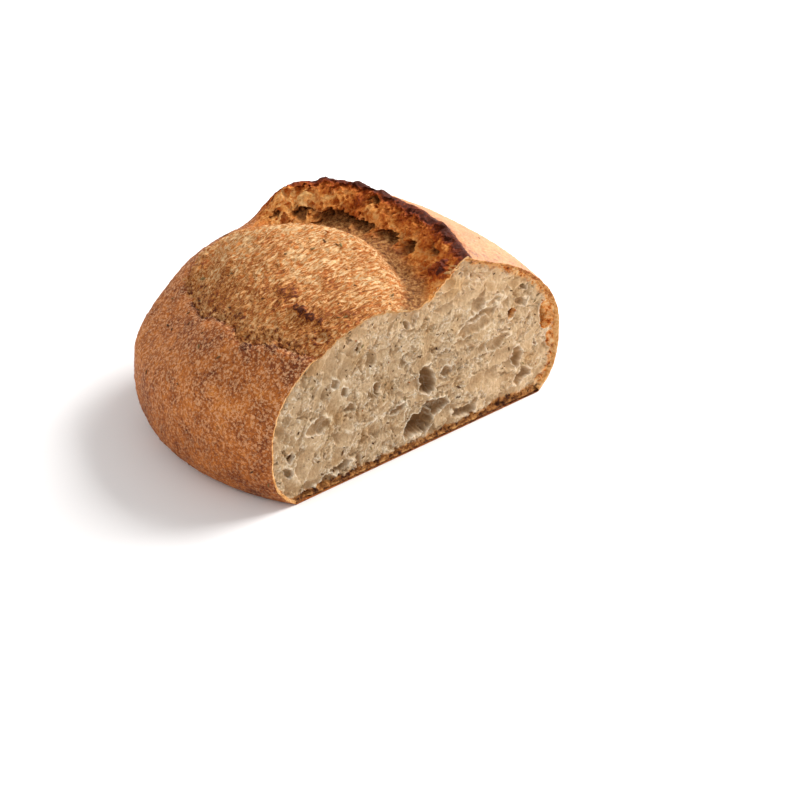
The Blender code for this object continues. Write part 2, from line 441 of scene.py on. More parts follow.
@dataclass
class LoafForm:
    """The loaf's whole form: the dome, the score and the lobe, with the crust's relief.

    Attributes:
        dome: the outline before the cut.
        score: the ear and the valley.
        lobe: the swelled dough.
        shift: how far the loaf's middle lies from the origin, in the plan.
    """

    dome: Dome = field(default_factory=Dome)
    score: Score = field(default_factory=Score)
    lobe: Lobe = field(default_factory=Lobe)
    shift: Vector = field(default_factory=lambda: Vector((0.0, 0.0, 0.0)))

    def macro(self, dome_points: np.ndarray) -> np.ndarray:
        """The form without relief.

        Args:
            dome_points: places on the plain dome, one a row.

        Returns:
            The same points with the score and the lobe.
        """
        crown = smooth(self.dome.bulge, self.dome.bulge + 0.028, dome_points[:, 2])
        shaped = dome_points.copy()
        rise = self.score.rise(dome_points) + self.lobe.rise(dome_points, self.score)
        shaped[:, 2] += crown * rise
        shaped[:, :2] += crown[:, None] * self.score.tip(dome_points)
        return shaped

    def past_edge(self, dome_points: np.ndarray) -> np.ndarray:
        """Distance past the ragged torn edge of the first skin.

        Args:
            dome_points: places on the plain dome, one a row.

        Returns:
            Distances in metres, below 0 on the lobe.
        """
        layers = ((0.065, 12 * MM, 37.0), (0.050, 4.5 * MM, 41.0), (0.035, 1.8 * MM, 42.0))
        ragged = layered(dome_points, *layers)
        return (self.lobe.level(dome_points) + ragged - 1.0) * self.lobe.half[0]

    def zones(self, dome_points: np.ndarray, past: np.ndarray) -> dict[Zone, np.ndarray]:
        """How much of each zone there is at points on the plain dome.

        Args:
            dome_points: places on the plain dome, one a row.
            past: distance of each past the torn edge of the first skin.

        Returns:
            A dictionary of zone to an array of shares from 0 to 1.
        """
        outward, angle = self.score.coordinates(dome_points)
        height = dome_points[:, 2]
        share = self.score.share(angle) * smooth(0.040, 0.056, height)
        crest_end = outward + 1.2 * MM * noise_at(dome_points, 4 * MM, seed=97.0)
        wall = self.score.wall
        on_wall = share * smooth(-wall - 0.002, -wall + 0.006, outward)
        on_wall *= 1.0 - smooth(-0.002, 0.003, outward)
        valley = share * bell(outward + wall + 0.001, 0.0075)
        on_lobe = smooth(0.6 * MM, -0.6 * MM, past) * smooth(-0.003, 0.004, -wall - outward)
        on_lobe *= smooth(0.045, 0.060, height)
        ridge_width = 0.0032 + 0.0030 * smooth(0.30, -0.25, angle)
        ridge = share * bell(outward + 0.0010, ridge_width) * (1.0 - smooth(1.0 * MM, 1.9 * MM, crest_end))
        return {
            Zone.WALL: on_wall,
            Zone.VALLEY: valley,
            Zone.LOBE: on_lobe,
            Zone.RIDGE: ridge,
            Zone.OUTER: smooth(-0.001, 0.006, outward) * smooth(0.02, 0.07, height) * smooth(1.2, 0.5, angle),
            Zone.LOW: 1.0 - smooth(0.010, 0.050, height),
        }


@dataclass(frozen=True)
class Pore:
    """An air pocket open on a face, in mm across and up that face.

    Attributes:
        across: how far across the face its middle is.
        height: how far up the face its middle is.
        half_wide: half its width.
        half_high: half its height.
        depth: how deep it goes.
        turn: its turn on the face, in degrees.
        golden: whether it lies so near the crust that its walls are browned.
    """

    across: float
    height: float
    half_wide: float
    half_high: float
    depth: float
    turn: float = 0.0
    golden: bool = False

    def reach(self, across: np.ndarray, height: np.ndarray) -> np.ndarray:
        """How far out from the pocket's middle places on the face are.

        Args:
            across: how far across the face they are.
            height: how far up the face they are.

        Returns:
            Levels, 0 in the pocket's middle and 1 on its edge.
        """
        turn = math.radians(self.turn)
        right, up = across - self.across, height - self.height
        along = right * math.cos(turn) + up * math.sin(turn)
        over = up * math.cos(turn) - right * math.sin(turn)
        return np.hypot(along / self.half_wide, over / self.half_high)

    def cap(self, across: np.ndarray, height: np.ndarray) -> np.ndarray:
        """Depth of the pocket at places on the face, 0 outside it."""
        return self.depth * np.sqrt(np.clip(1.0 - self.reach(across, height) ** 2, 0.0, 1.0))


# The dough's streaks run across the loaf, so their pattern is drawn out along X.
ALONG_STREAKS = np.array([0.22, 1.0, 1.0])


@dataclass
class CrustRelief:
    """Relief of the crust, from slow swelling to flakes.

    Attributes:
        form: the loaf's form.
        seed: start of the random draws.
    """

    form: LoafForm
    seed: int = 11

    def wall_pores(self, dome_points: np.ndarray) -> np.ndarray:
        """Depth of the torn pores in the ear's wall.

        Args:
            dome_points: places on the plain dome, one a row.

        Returns:
            Depths in metres, one a point.
        """
        score = self.form.score
        outward, angle = score.coordinates(dome_points)
        on_wall = (outward > -score.wall - 4 * MM) & (outward < 3 * MM)
        near = np.nonzero(on_wall & (score.share(angle) > 0.05))[0]
        depth = np.zeros(len(dome_points))
        along, up = angle[near] * score.ridge_radius / MM, (outward[near] + score.wall) / MM
        flat = np.stack([along, up, np.zeros(len(near))], axis=1)
        along = along + layered(flat, (2.2, 4.5, 3.0), (1.1, 1.7, 5.0))
        up = up + layered(flat, (2.4, 4.5, 9.0), (1.1, 1.7, 11.0))
        draw = np.random.default_rng(self.seed)
        found = np.zeros(len(near))
        for count, low, high, deep in ((46, 1.6, 3.2, 1.5), (330, 0.6, 1.3, 1.6)):
            for _ in range(count):
                wide = draw.uniform(low, high)
                pore = Pore(
                    draw.uniform(-56, 98),
                    draw.uniform(3, 26.5),
                    wide,
                    wide * draw.uniform(0.9, 1.9),
                    wide * deep * draw.uniform(0.6, 1.2),
                    draw.normal(0, 25),
                )
                found = np.maximum(found, pore.cap(along, up))
        depth[near] = found * MM * score.share(angle[near]) * smooth(0.5 * MM, -5 * MM, outward[near])
        return depth

    def coarse(self, points: np.ndarray) -> np.ndarray:
        """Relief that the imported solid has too.

        Args:
            points: places on the plain dome, one a row.

        Returns:
            Heights outward, one a point.
        """
        outward, angle = self.form.score.coordinates(points)
        wall = self.form.score.wall
        on_wall = self.form.score.share(angle) * smooth(-wall - 0.004, -wall + 0.006, outward)
        on_wall *= 1.0 - smooth(-0.002, 0.004, outward)
        streaked = smooth(0.0, 0.15, 1.0 - self.form.lobe.level(points))
        streaked *= smooth(0.0, 0.008, -wall - outward)
        swell = 1.1 * MM * noise_at(points, 28 * MM)
        crag = 2.2 * MM * noise_at(points, 7.5 * MM, seed=3.0)
        streak = 0.6 * MM * noise_at(points * ALONG_STREAKS, 6.5 * MM, seed=7.0)
        return smooth(0.0, 0.010, points[:, 2]) * (swell + on_wall * crag + streaked * streak)

    def fine(self, points: np.ndarray, zones: dict[Zone, np.ndarray]) -> np.ndarray:
        """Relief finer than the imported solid's facets, on top of the coarse relief.

        Args:
            points: places on the plain dome, one a row.
            zones: how much of each zone there is there.

        Returns:
            Heights along the surface's normal, one a point.
        """
        outward, angle = self.form.score.coordinates(points)
        torn = zones[Zone.WALL] * (1.0 - 0.65 * bell(outward + 1 * MM, 4 * MM))
        lobe = zones[Zone.LOBE]
        skin = np.clip(1.0 - zones[Zone.WALL] - lobe - zones[Zone.VALLEY], 0.0, 1.0)
        around = angle * self.form.score.ridge_radius
        along = np.stack([around, points[:, 0] * 0.6, points[:, 2] * 0.6], axis=1)
        fibres = 1.5 * MM * (ridges_at(along, 3.2 * MM, seed=11.0) - 0.5)
        chips = 1.0 * MM * noise_at(points, 2.0 * MM, seed=13.0)
        drift = layered(points, (1.8 * MM, 7 * MM, 67.0), (0.8 * MM, 2.5 * MM, 71.0))
        grain = points * ALONG_STREAKS
        grain[:, 1] += drift
        streaks = 1.0 * MM * (ridges_at(grain, 2.3 * MM, seed=17.0) - 0.5)
        flakes = 0.7 * MM * noise_at(points * np.array([0.55, 1.0, 1.0]), 1.5 * MM, seed=19.0)
        pimples = layered(points, (0.30 * MM, 1.4 * MM, 23.0), (0.35 * MM, 5 * MM, 29.0))
        wrinkles = layered(points, (0.45 * MM, 2.0 * MM, 31.0), (0.6 * MM, 6 * MM, 33.0))
        on_torn = torn * (fibres + chips) + lobe * (streaks + flakes)
        return on_torn + skin * pimples + zones[Zone.VALLEY] * wrinkles

    def marks(self, places: np.ndarray) -> tuple[np.ndarray, np.ndarray]:
        """Relief and darkness of the small marks.

        Args:
            places: the surface so far, one a row.

        Returns:
            Heights along the surface's normal and changes of the baked level, one a point.
        """
        rise, baked = np.zeros(len(places)), np.zeros(len(places))
        for index, mark in enumerate(MARKS):
            away = np.linalg.norm(places - np.array(mark.place) * MM, axis=1) / (mark.reach * MM)
            near = np.nonzero(away < 1.8)[0]
            if len(near) == 0:
                continue
            reach = mark.reach * MM
            layers = ((0.35, 0.7 * reach, 73.0 + index), (0.20, 0.25 * reach, 79.0 + index))
            ragged = layered(places[near], *layers)
            size = away[near] + ragged
            rise[near] += mark.rise * MM * (1.0 - smooth(0.45, 1.05, size))
            baked[near] += mark.baked * (1.0 - smooth(0.6, 1.1, size))
            baked[near] += mark.rim * bell(size - 1.0, 0.22)
        return rise, baked

    def torn_edge(self, points: np.ndarray, past: np.ndarray) -> tuple[np.ndarray, np.ndarray, np.ndarray]:
        """Step up from the lobe to the torn edge of the first skin, and the ragged band below it.

        Args:
            points: places on the plain dome, one a row.
            past: distance of each past that edge.

        Returns:
            Heights, shares that are 1 on the edge, and shares that are 1 in the ragged band.
        """
        outward, _ = self.form.score.coordinates(points)
        left_side = smooth(0.010, 0.030, -self.form.score.wall - outward)
        left_side *= smooth(0.050, 0.060, points[:, 2])
        lifted = 0.65 + 0.6 * noise_at(points, 9 * MM, seed=44.0)
        step = smooth(-0.3 * MM, 0.5 * MM, past) * (1.0 - smooth(0.0, 7 * MM, past))
        crack = bell(past + 0.5 * MM, 0.6 * MM)
        shape = lifted * (1.6 * MM * step - 1.1 * MM * crack)
        band = left_side * bell(past + 2.4 * MM, 3.4 * MM)
        band *= smooth(-0.35, 0.15, noise_at(points, 8 * MM, seed=89.0))
        flaps = 2.1 * MM * (ridges_at(points, 3.4 * MM, seed=83.0) - 0.45)
        on_edge = left_side * lifted * bell(past - 0.2 * MM, 1.1 * MM)
        return left_side * shape + band * flaps, on_edge, band

    def hollows(self, places: np.ndarray) -> tuple[np.ndarray, np.ndarray]:
        """Digs the hollows at the foot of the ear's wall.

        Args:
            places: the surface so far, one a row.

        Returns:
            Sideways and downward shifts, one a row, and how deep in a hollow each point is.
        """
        score = self.form.score
        ragged = layered(places, (0.35, 3.2 * MM, 43.0), (0.2, 1.4 * MM, 47.0))
        shifts, depths = np.zeros_like(places), np.zeros(len(places))
        for hollow in WALL_HOLLOWS:
            angle = math.radians(hollow.degrees)
            radius = score.ridge_radius - hollow.inward * MM
            away = np.array([math.cos(angle), math.sin(angle), 0.0])
            along = np.array([-math.sin(angle), math.cos(angle), 0.0])
            middle = np.array([score.middle[0], score.middle[1], hollow.height * MM]) + away * radius
            offset = places - middle
            size = np.sqrt(
                (offset @ away / (1.15 * hollow.half_across * MM)) ** 2
                + (offset @ along / (hollow.half_long * MM)) ** 2
                + (offset[:, 2] / (hollow.half_high * MM)) ** 2
            )
            depth = np.sqrt(np.clip(1.0 - (size + ragged) ** 2, 0.0, 1.0))
            shifts += depth[:, None] * (1.3 * hollow.half_across * MM * away + np.array([0, 0, -1.0 * MM]))
            depths = np.maximum(depths, depth)
        return shifts, depths


def unit_grid(columns: int, rows: int) -> bmesh.types.BMesh:
    """A grid of quads whose corners lie at -1 and 1 in X and Y.

    Args:
        columns: quads along X.
        rows: quads along Y.

    Returns:
        The bmesh.
    """
    mesh = bmesh.new()
    bmesh.ops.create_grid(mesh, x_segments=columns, y_segments=rows, size=1.0)
    return mesh


def object_from(mesh: bmesh.types.BMesh, name: str, material: bpy.types.Material) -> bpy.types.Object:
    """A smooth-shaded object in the scene from a bmesh, which is freed.

    Args:
        mesh: the bmesh.
        name: the new object's name.
        material: its material.

    Returns:
        The object.
    """
    data = bpy.data.meshes.new(name)
    mesh.to_mesh(data)
    mesh.free()
    data.shade_smooth()
    data.materials.append(material)
    made = bpy.data.objects.new(name, data)
    bpy.context.scene.collection.objects.link(made)
    return made


# The ear's own patch: angles along the score, distances outward from its ridge, and its lowest height.
EAR_ANGLES = (math.radians(-36), math.radians(57))
EAR_ACROSS = (-34 * MM, 6 * MM)
EAR_LOWEST = 30 * MM


@dataclass
class CrustShell:
    """The crust: a crown patch, a skirt that shares the crown's edge and a denser patch for the ear.

    Attributes:
        form: the loaf's form.
        columns: quads along one side of the crown patch, and a third of those round the skirt.
        rows: quads down the skirt.
        ear_columns: quads along the ear's patch.
        ear_rows: quads across the ear's patch.
        rim: how wide the crust shows on the cut face.
        inner_height: height of a place well inside the cut face.
    """

    form: LoafForm
    columns: int = 312
    rows: int = 104
    ear_columns: int = 560
    ear_rows: int = 160
    rim: float = 0.8 * MM
    inner_height: float = 0.036

    def crown_directions(self, grid: np.ndarray) -> np.ndarray:
        """Directions through the top face of a cube.

        Args:
            grid: the grid's vertices, from -1 to 1 in X and Y.

        Returns:
            One unit vector a vertex.
        """
        flat = np.tan(grid[:, :2] * math.pi / 4)
        ways = np.column_stack([flat, np.ones(len(flat))])
        return ways / np.linalg.norm(ways, axis=1, keepdims=True)

    def skirt_directions(self, grid: np.ndarray) -> np.ndarray:
        """Directions through the right, back and left faces of a cube.

        Args:
            grid: the grid's vertices, from -1 to 1 in X and Y.

        Returns:
            One unit vector a vertex.
        """
        turn = (grid[:, 0] + 1.0) * 1.5
        side = np.minimum(turn.astype(int), 2)
        across = np.tan(((turn - side) * 2.0 - 1.0) * math.pi / 4)
        up = np.tan((grid[:, 1] * 0.94 + 0.06) * math.pi / 4)
        # Below the bulge the rows run level round the loaf, so they reach the ground together.
        up = np.where(up < 0.0, up * np.sqrt(1.0 + across**2), up)
        right = np.stack([np.ones_like(across), across, up], axis=1)
        back = np.stack([-across, np.ones_like(across), up], axis=1)
        left = np.stack([-np.ones_like(across), -across, up], axis=1)
        ways = np.choose(side[:, None], [right, back, left])
        return ways / np.linalg.norm(ways, axis=1, keepdims=True)

    def ear_directions(self, grid: np.ndarray) -> np.ndarray:
        """Directions to places on the ear's wall, by angles along it and distances across it.

        Args:
            grid: the grid's vertices, from -1 to 1 in X and Y.

        Returns:
            One unit vector a vertex.
        """
        score, dome = self.form.score, self.form.dome
        angle = EAR_ANGLES[0] + (EAR_ANGLES[1] - EAR_ANGLES[0]) * (grid[:, 0] + 1.0) / 2
        outward = EAR_ACROSS[0] + (EAR_ACROSS[1] - EAR_ACROSS[0]) * (grid[:, 1] + 1.0) / 2
        radius = score.ridge_radius + outward
        wanted = np.stack([np.cos(angle) * radius, np.sin(angle) * radius], axis=1) + np.array(score.middle)
        half = np.array([dome.width, dome.length]) / 2
        flat = wanted / half
        # The dome leans and droops, so the way to each place is found step by step.
        for _ in range(60):
            ways = np.column_stack([flat, np.ones(len(flat))])
            ways /= np.linalg.norm(ways, axis=1, keepdims=True)
            flat += (wanted - dome.points(ways)[:, :2]) / half
        return ways

    def inside_ear(self, dome_points: np.ndarray) -> np.ndarray:
        """How far inside the ear's own patch points are.

        Args:
            dome_points: places on the plain dome, one a row.

        Returns:
            Distances in metres, below 0 outside the patch.
        """
        outward, angle = self.form.score.coordinates(dome_points)
        radius = self.form.score.ridge_radius
        return np.minimum.reduce(
            [
                outward - EAR_ACROSS[0],
                EAR_ACROSS[1] - outward,
                (angle - EAR_ANGLES[0]) * radius,
                (EAR_ANGLES[1] - angle) * radius,
                dome_points[:, 2] - EAR_LOWEST,
            ]
        )

    def surface(self, mesh: bmesh.types.BMesh, directions: np.ndarray, is_ear: bool) -> None:
        """Moves the grid's vertices onto the loaf and writes the zones on them.

        Args:
            mesh: the bmesh grid.
            directions: one unit vector a vertex.
            is_ear: whether this is the ear's patch, which lies over the crown's edge.
        """
        relief = CrustRelief(self.form)
        dome = self.form.dome.points(directions)
        past = self.form.past_edge(dome)
        zones = self.form.zones(dome, past)
        places = self.form.macro(dome)
        inside = self.inside_ear(dome)
        plain = self.form.dome
        rays = (dome - np.array([0.0, 0.0, plain.bulge])) / np.array([plain.width, plain.length, plain.crown])
        rays /= np.linalg.norm(rays, axis=1, keepdims=True)
        places += rays * relief.coarse(dome)[:, None]
        for vertex, place in zip(mesh.verts, places):
            vertex.co = place
        mesh.normal_update()
        normals = np.array([v.normal for v in mesh.verts])
        if np.mean(np.sum(normals * rays, axis=1)) < 0:
            bmesh.ops.reverse_faces(mesh, faces=mesh.faces)
            normals = -normals
        step, edge, band = relief.torn_edge(dome, past)
        rise, baked = relief.marks(places)
        fine = smooth(0.0, 0.004, dome[:, 2]) * relief.fine(dome, zones) + rise + step
        # The ear's patch sinks at its edge and the crown sinks under it, so no gap shows between them.
        if is_ear:
            fine -= 0.5 * MM * (1.0 - smooth(0.0, 1.0 * MM, inside))
        else:
            fine -= 1.2 * MM * smooth(0.0, 2 * MM, inside)
        places = places + normals * fine[:, None]
        shifts, depths = relief.hollows(places)
        pores = relief.wall_pores(dome)
        _, angle = self.form.score.coordinates(dome)
        into = np.stack([np.cos(angle), np.sin(angle), np.full(len(angle), -0.35)], axis=1)
        places = places + shifts + into * pores[:, None]
        for vertex, place in zip(mesh.verts, places):
            vertex.co = place
        # How deep in a hollow each point lies; the finish paints the hollows darker with it, as painted
        # shade.
        zones[Zone.HOLLOW] = depths
        # How deep each wall pore is; the finish darkens the wall with it, as painted shade.
        zones[Zone.PIT] = np.clip(pores / (3 * MM), 0.0, 1.0)
        zones[Zone.BURNT] = self.bake(dome, zones, edge) + baked
        zones[Zone.EDGE] = band
        zones[Zone.RIM] = np.zeros(len(dome))
        for zone, shares in zones.items():
            layer = mesh.verts.layers.float.new(zone.value)
            for vertex, share in zip(mesh.verts, shares):
                vertex[layer] = share
        # The ear's patch stands in for the crown here.
        if not is_ear:
            spare = [vertex for vertex, depth in zip(mesh.verts[:], inside) if depth > 3 * MM]
            bmesh.ops.delete(mesh, geom=spare, context="VERTS")

    def bake(self, points: np.ndarray, zones: dict[Zone, np.ndarray], edge: np.ndarray) -> np.ndarray:
        """How dark each point is, from 0, pale, to 1, charred: the oven's browning, with the crust behind the
        ear paler, partly for its flour and partly as painted highlight.

        Args:
            points: places on the plain dome, one a row.
            zones: how much of each zone there is there.
            edge: how near the torn edge of the first skin is.

        Returns:
            An array of shares.
        """
        outward, angle = self.form.score.coordinates(points)
        up_wall = np.clip(1.0 + outward / self.form.score.wall, 0.0, 1.0)
        patches = noise_at(points, 17 * MM, seed=53.0)
        torn = np.clip(zones[Zone.WALL], 0.0, 1.0)
        wall = 0.18 + 0.34 * up_wall**3 + 0.24 * noise_at(points, 6 * MM, seed=59.0)
        wall += 0.18 * smooth(0.75, 0.30, angle) - 0.03 * smooth(0.0, -0.4, angle)
        towards_left = smooth(-0.010, -0.062, points[:, 0] + 0.25 * points[:, 1])
        lobe = 0.235 + 0.06 * patches + 0.19 * towards_left
        # The crust behind the ear, facing the key light, is made paler: partly its flour, partly painted
        # highlight.
        skin = 0.58 + 0.07 * patches + 0.07 * zones[Zone.LOW] - 0.20 * zones[Zone.OUTER]
        skin += 0.09 * smooth(50 * MM, 66 * MM, points[:, 2]) * (1.0 - zones[Zone.OUTER])
        level = skin * (1.0 - zones[Zone.LOBE]) + lobe * zones[Zone.LOBE]
        level = level * (1.0 - torn) + wall * torn
        level = level * (1.0 - zones[Zone.VALLEY]) + (0.46 + 0.10 * patches) * zones[Zone.VALLEY]
        level = level + 0.52 * zones[Zone.RIDGE] * (0.85 + 0.4 * noise_at(points, 11 * MM, seed=61.0))
        spots = smooth(0.10, 0.30, noise_at(points, 3.0 * MM, seed=101.0)) * (outward > 0.0)
        level = level + 0.45 * spots * smooth(8 * MM, 1 * MM, points[:, 1] - self.form.dome.cut_y)
        return np.clip(level + 0.38 * edge, 0.0, 1.0)

    def cut(self, mesh: bmesh.types.BMesh, with_base: bool) -> None:
        """Cuts the surface at the cut face, and at the ground with a base closing it.

        Args:
            mesh: the bmesh.
            with_base: whether the mesh reaches the ground.
        """
        cut_y = self.form.dome.cut_y
        planes = [((0, cut_y, 0), (0, -1, 0))]
        if with_base:
            planes.append(((0, 0, 0), (0, 0, -1)))
        for place, way in planes:
            geometry = mesh.verts[:] + mesh.edges[:] + mesh.faces[:]
            made = bmesh.ops.bisect_plane(mesh, geom=geometry, plane_co=place, plane_no=way, clear_outer=True)
        if with_base:
            ring = [item for item in made["geom_cut"] if isinstance(item, bmesh.types.BMEdge)]
            on_face = (v for v in mesh.verts if v.is_boundary and v.co.y < cut_y + ON_PLANE)
            foot = sorted((v for v in on_face if v.co.z < ON_PLANE), key=lambda v: v.co.x)
            ring.append(mesh.edges.new((foot[0], foot[-1])))
            bmesh.ops.contextual_create(mesh, geom=ring)

    def turn_in(self, mesh: bmesh.types.BMesh) -> None:
        """Turns the edge at the cut face inward as the crust's own thickness.

        Args:
            mesh: the bmesh, cut.
        """
        cut_y = self.form.dome.cut_y
        on_face = {v for v in mesh.verts if v.co.y < cut_y + ON_PLANE and v.co.z > 10 * ON_PLANE}
        edges = [e for e in mesh.edges if e.is_boundary and all(v in on_face for v in e.verts)]
        rim_layer = mesh.verts.layers.float[Zone.RIM.value]
        middle = Vector((0.0, cut_y, self.inner_height))
        # A narrow flat, a slope to the crumb, and a wall that ends behind it.
        for inward, back in ((self.rim * 0.25, 0.0), (self.rim, 0.25 * MM), (self.rim * 1.4, 3.0 * MM)):
            made = bmesh.ops.extrude_edge_only(mesh, edges=edges)["geom"]
            new_verts = [v for v in made if isinstance(v, bmesh.types.BMVert)]
            edges = [e for e in made if isinstance(e, bmesh.types.BMEdge)]
            for vertex in new_verts:
                vertex[rim_layer] = 1.0
            ways = {}
            for vertex in new_verts:
                neighbours = [e.other_vert(vertex) for e in vertex.link_edges if e.is_boundary]
                if len(neighbours) == 2:
                    along = neighbours[0].co - neighbours[1].co
                    way = Vector((along.z, 0.0, -along.x))
                    if way.dot(middle - vertex.co) < 0:
                        way.negate()
                else:
                    way = middle - vertex.co
                way.y = 0.0
                ways[vertex] = way.normalized()
            for vertex, way in ways.items():
                vertex.co += way * inward
                vertex.co.y += back

    def build(self, material: bpy.types.Material) -> list[bpy.types.Object]:
        """Makes the crown, the skirt and the ear's patch.

        Args:
            material: the crust's material.

        Returns:
            The three objects.
        """
        made = []
        for name, directions, columns, rows in (
            ("crust_crown", self.crown_directions, self.columns, self.columns),
            ("crust_skirt", self.skirt_directions, self.columns * 3, self.rows),
            ("crust_ear", self.ear_directions, self.ear_columns, self.ear_rows),
        ):
            mesh = unit_grid(columns, rows)
            grid = np.array([v.co for v in mesh.verts])
            self.surface(mesh, directions(grid), name == "crust_ear")
            self.cut(mesh, with_base=name == "crust_skirt")
            self.turn_in(mesh)
            bmesh.ops.translate(mesh, verts=mesh.verts, vec=self.form.shift)
            made.append(object_from(mesh, name, material))
        return made


# The larger air pockets of the crumb, at their places on the cut face.
MEASURED_PORES = (
    Pore(4.8, 33.4, 5.0, 7.4, 7.0, 10),
    Pore(9.0, 17.4, 8.8, 4.3, 5.0, -8),
    Pore(-0.7, 11.4, 9.4, 6.3, 9.0, 12),
    Pore(-9.6, 67.0, 2.4, 3.1, 3.0),
    Pore(-4.1, 66.3, 1.4, 2.8, 2.4, -25),
    Pore(57.6, 49.0, 2.6, 3.2, 6.5, 20, golden=True),
    Pore(32.8, 76.5, 2.0, 1.5, 4.0, -20),
    Pore(36.5, 74.0, 3.6, 1.3, 1.8, -25),
    Pore(24.8, 80.4, 1.0, 1.3, 2.0),
    Pore(65.6, 60.9, 3.0, 1.4, 3.0, -20),
    Pore(75.0, 27.7, 1.3, 1.8, 3.0, 30),
    Pore(46.0, 60.0, 5.0, 1.8, 1.4, 5),
    Pore(49.5, 37.0, 7.8, 3.2, 2.5, 12),
    Pore(39.9, 54.8, 9.6, 3.2, 2.2, 5),
    Pore(33.0, 49.5, 10.5, 3.4, 1.9, 4),
    Pore(62.4, 24.2, 3.3, 6.6, 4.0),
    Pore(66.2, 12.6, 6.0, 3.3, 4.0, 14),
    Pore(81.0, 39.2, 4.2, 7.1, 3.0, 12, golden=True),
    Pore(83.5, 52.0, 2.6, 3.4, 2.5, 30, golden=True),
    Pore(74.0, 66.5, 3.4, 2.4, 2.5, -35, golden=True),
    Pore(84.5, 27.0, 2.0, 3.6, 2.0, golden=True),
    Pore(64.7, 52.9, 4.0, 2.7, 3.0, -20),
    Pore(-61.6, 34.1, 7.0, 3.6, 2.4, 8),
    Pore(-42.2, 36.3, 3.6, 2.6, 2.4),
    Pore(28.0, 7.6, 7.8, 2.9, 5.0),
    Pore(16.1, 33.4, 3.2, 2.7, 3.0),
    Pore(-77.5, 24.2, 2.3, 2.0, 3.0),
    Pore(-79.5, 17.2, 2.4, 2.8, 3.0),
    Pore(-48.6, 6.8, 6.6, 2.3, 3.0, 4),
    Pore(-58.1, 3.8, 5.3, 1.9, 3.0),
    Pore(-68.8, 2.2, 3.5, 1.4, 3.0),
    Pore(-45.0, 45.6, 1.8, 2.6, 2.4),
    Pore(-37.7, 65.3, 1.8, 2.5, 2.4),
    Pore(-26.0, 40.9, 2.6, 3.1, 3.0),
    Pore(-51.9, 52.4, 1.7, 3.0, 2.4),
    Pore(-14.0, 24.0, 5.0, 2.2, 3.0, 20),
)


# What the crumb's finish reads on each point: how deep it lies, which it paints as shade, how near a wall's
# crest it is, which it
# # paints as highlight, how far it is from the crust, how high over the base it is, and how much painted
# light it gets, more towards the top and the right.
CRUMB_AMOUNTS = ("pit", "crest", "skin", "base", "pale")


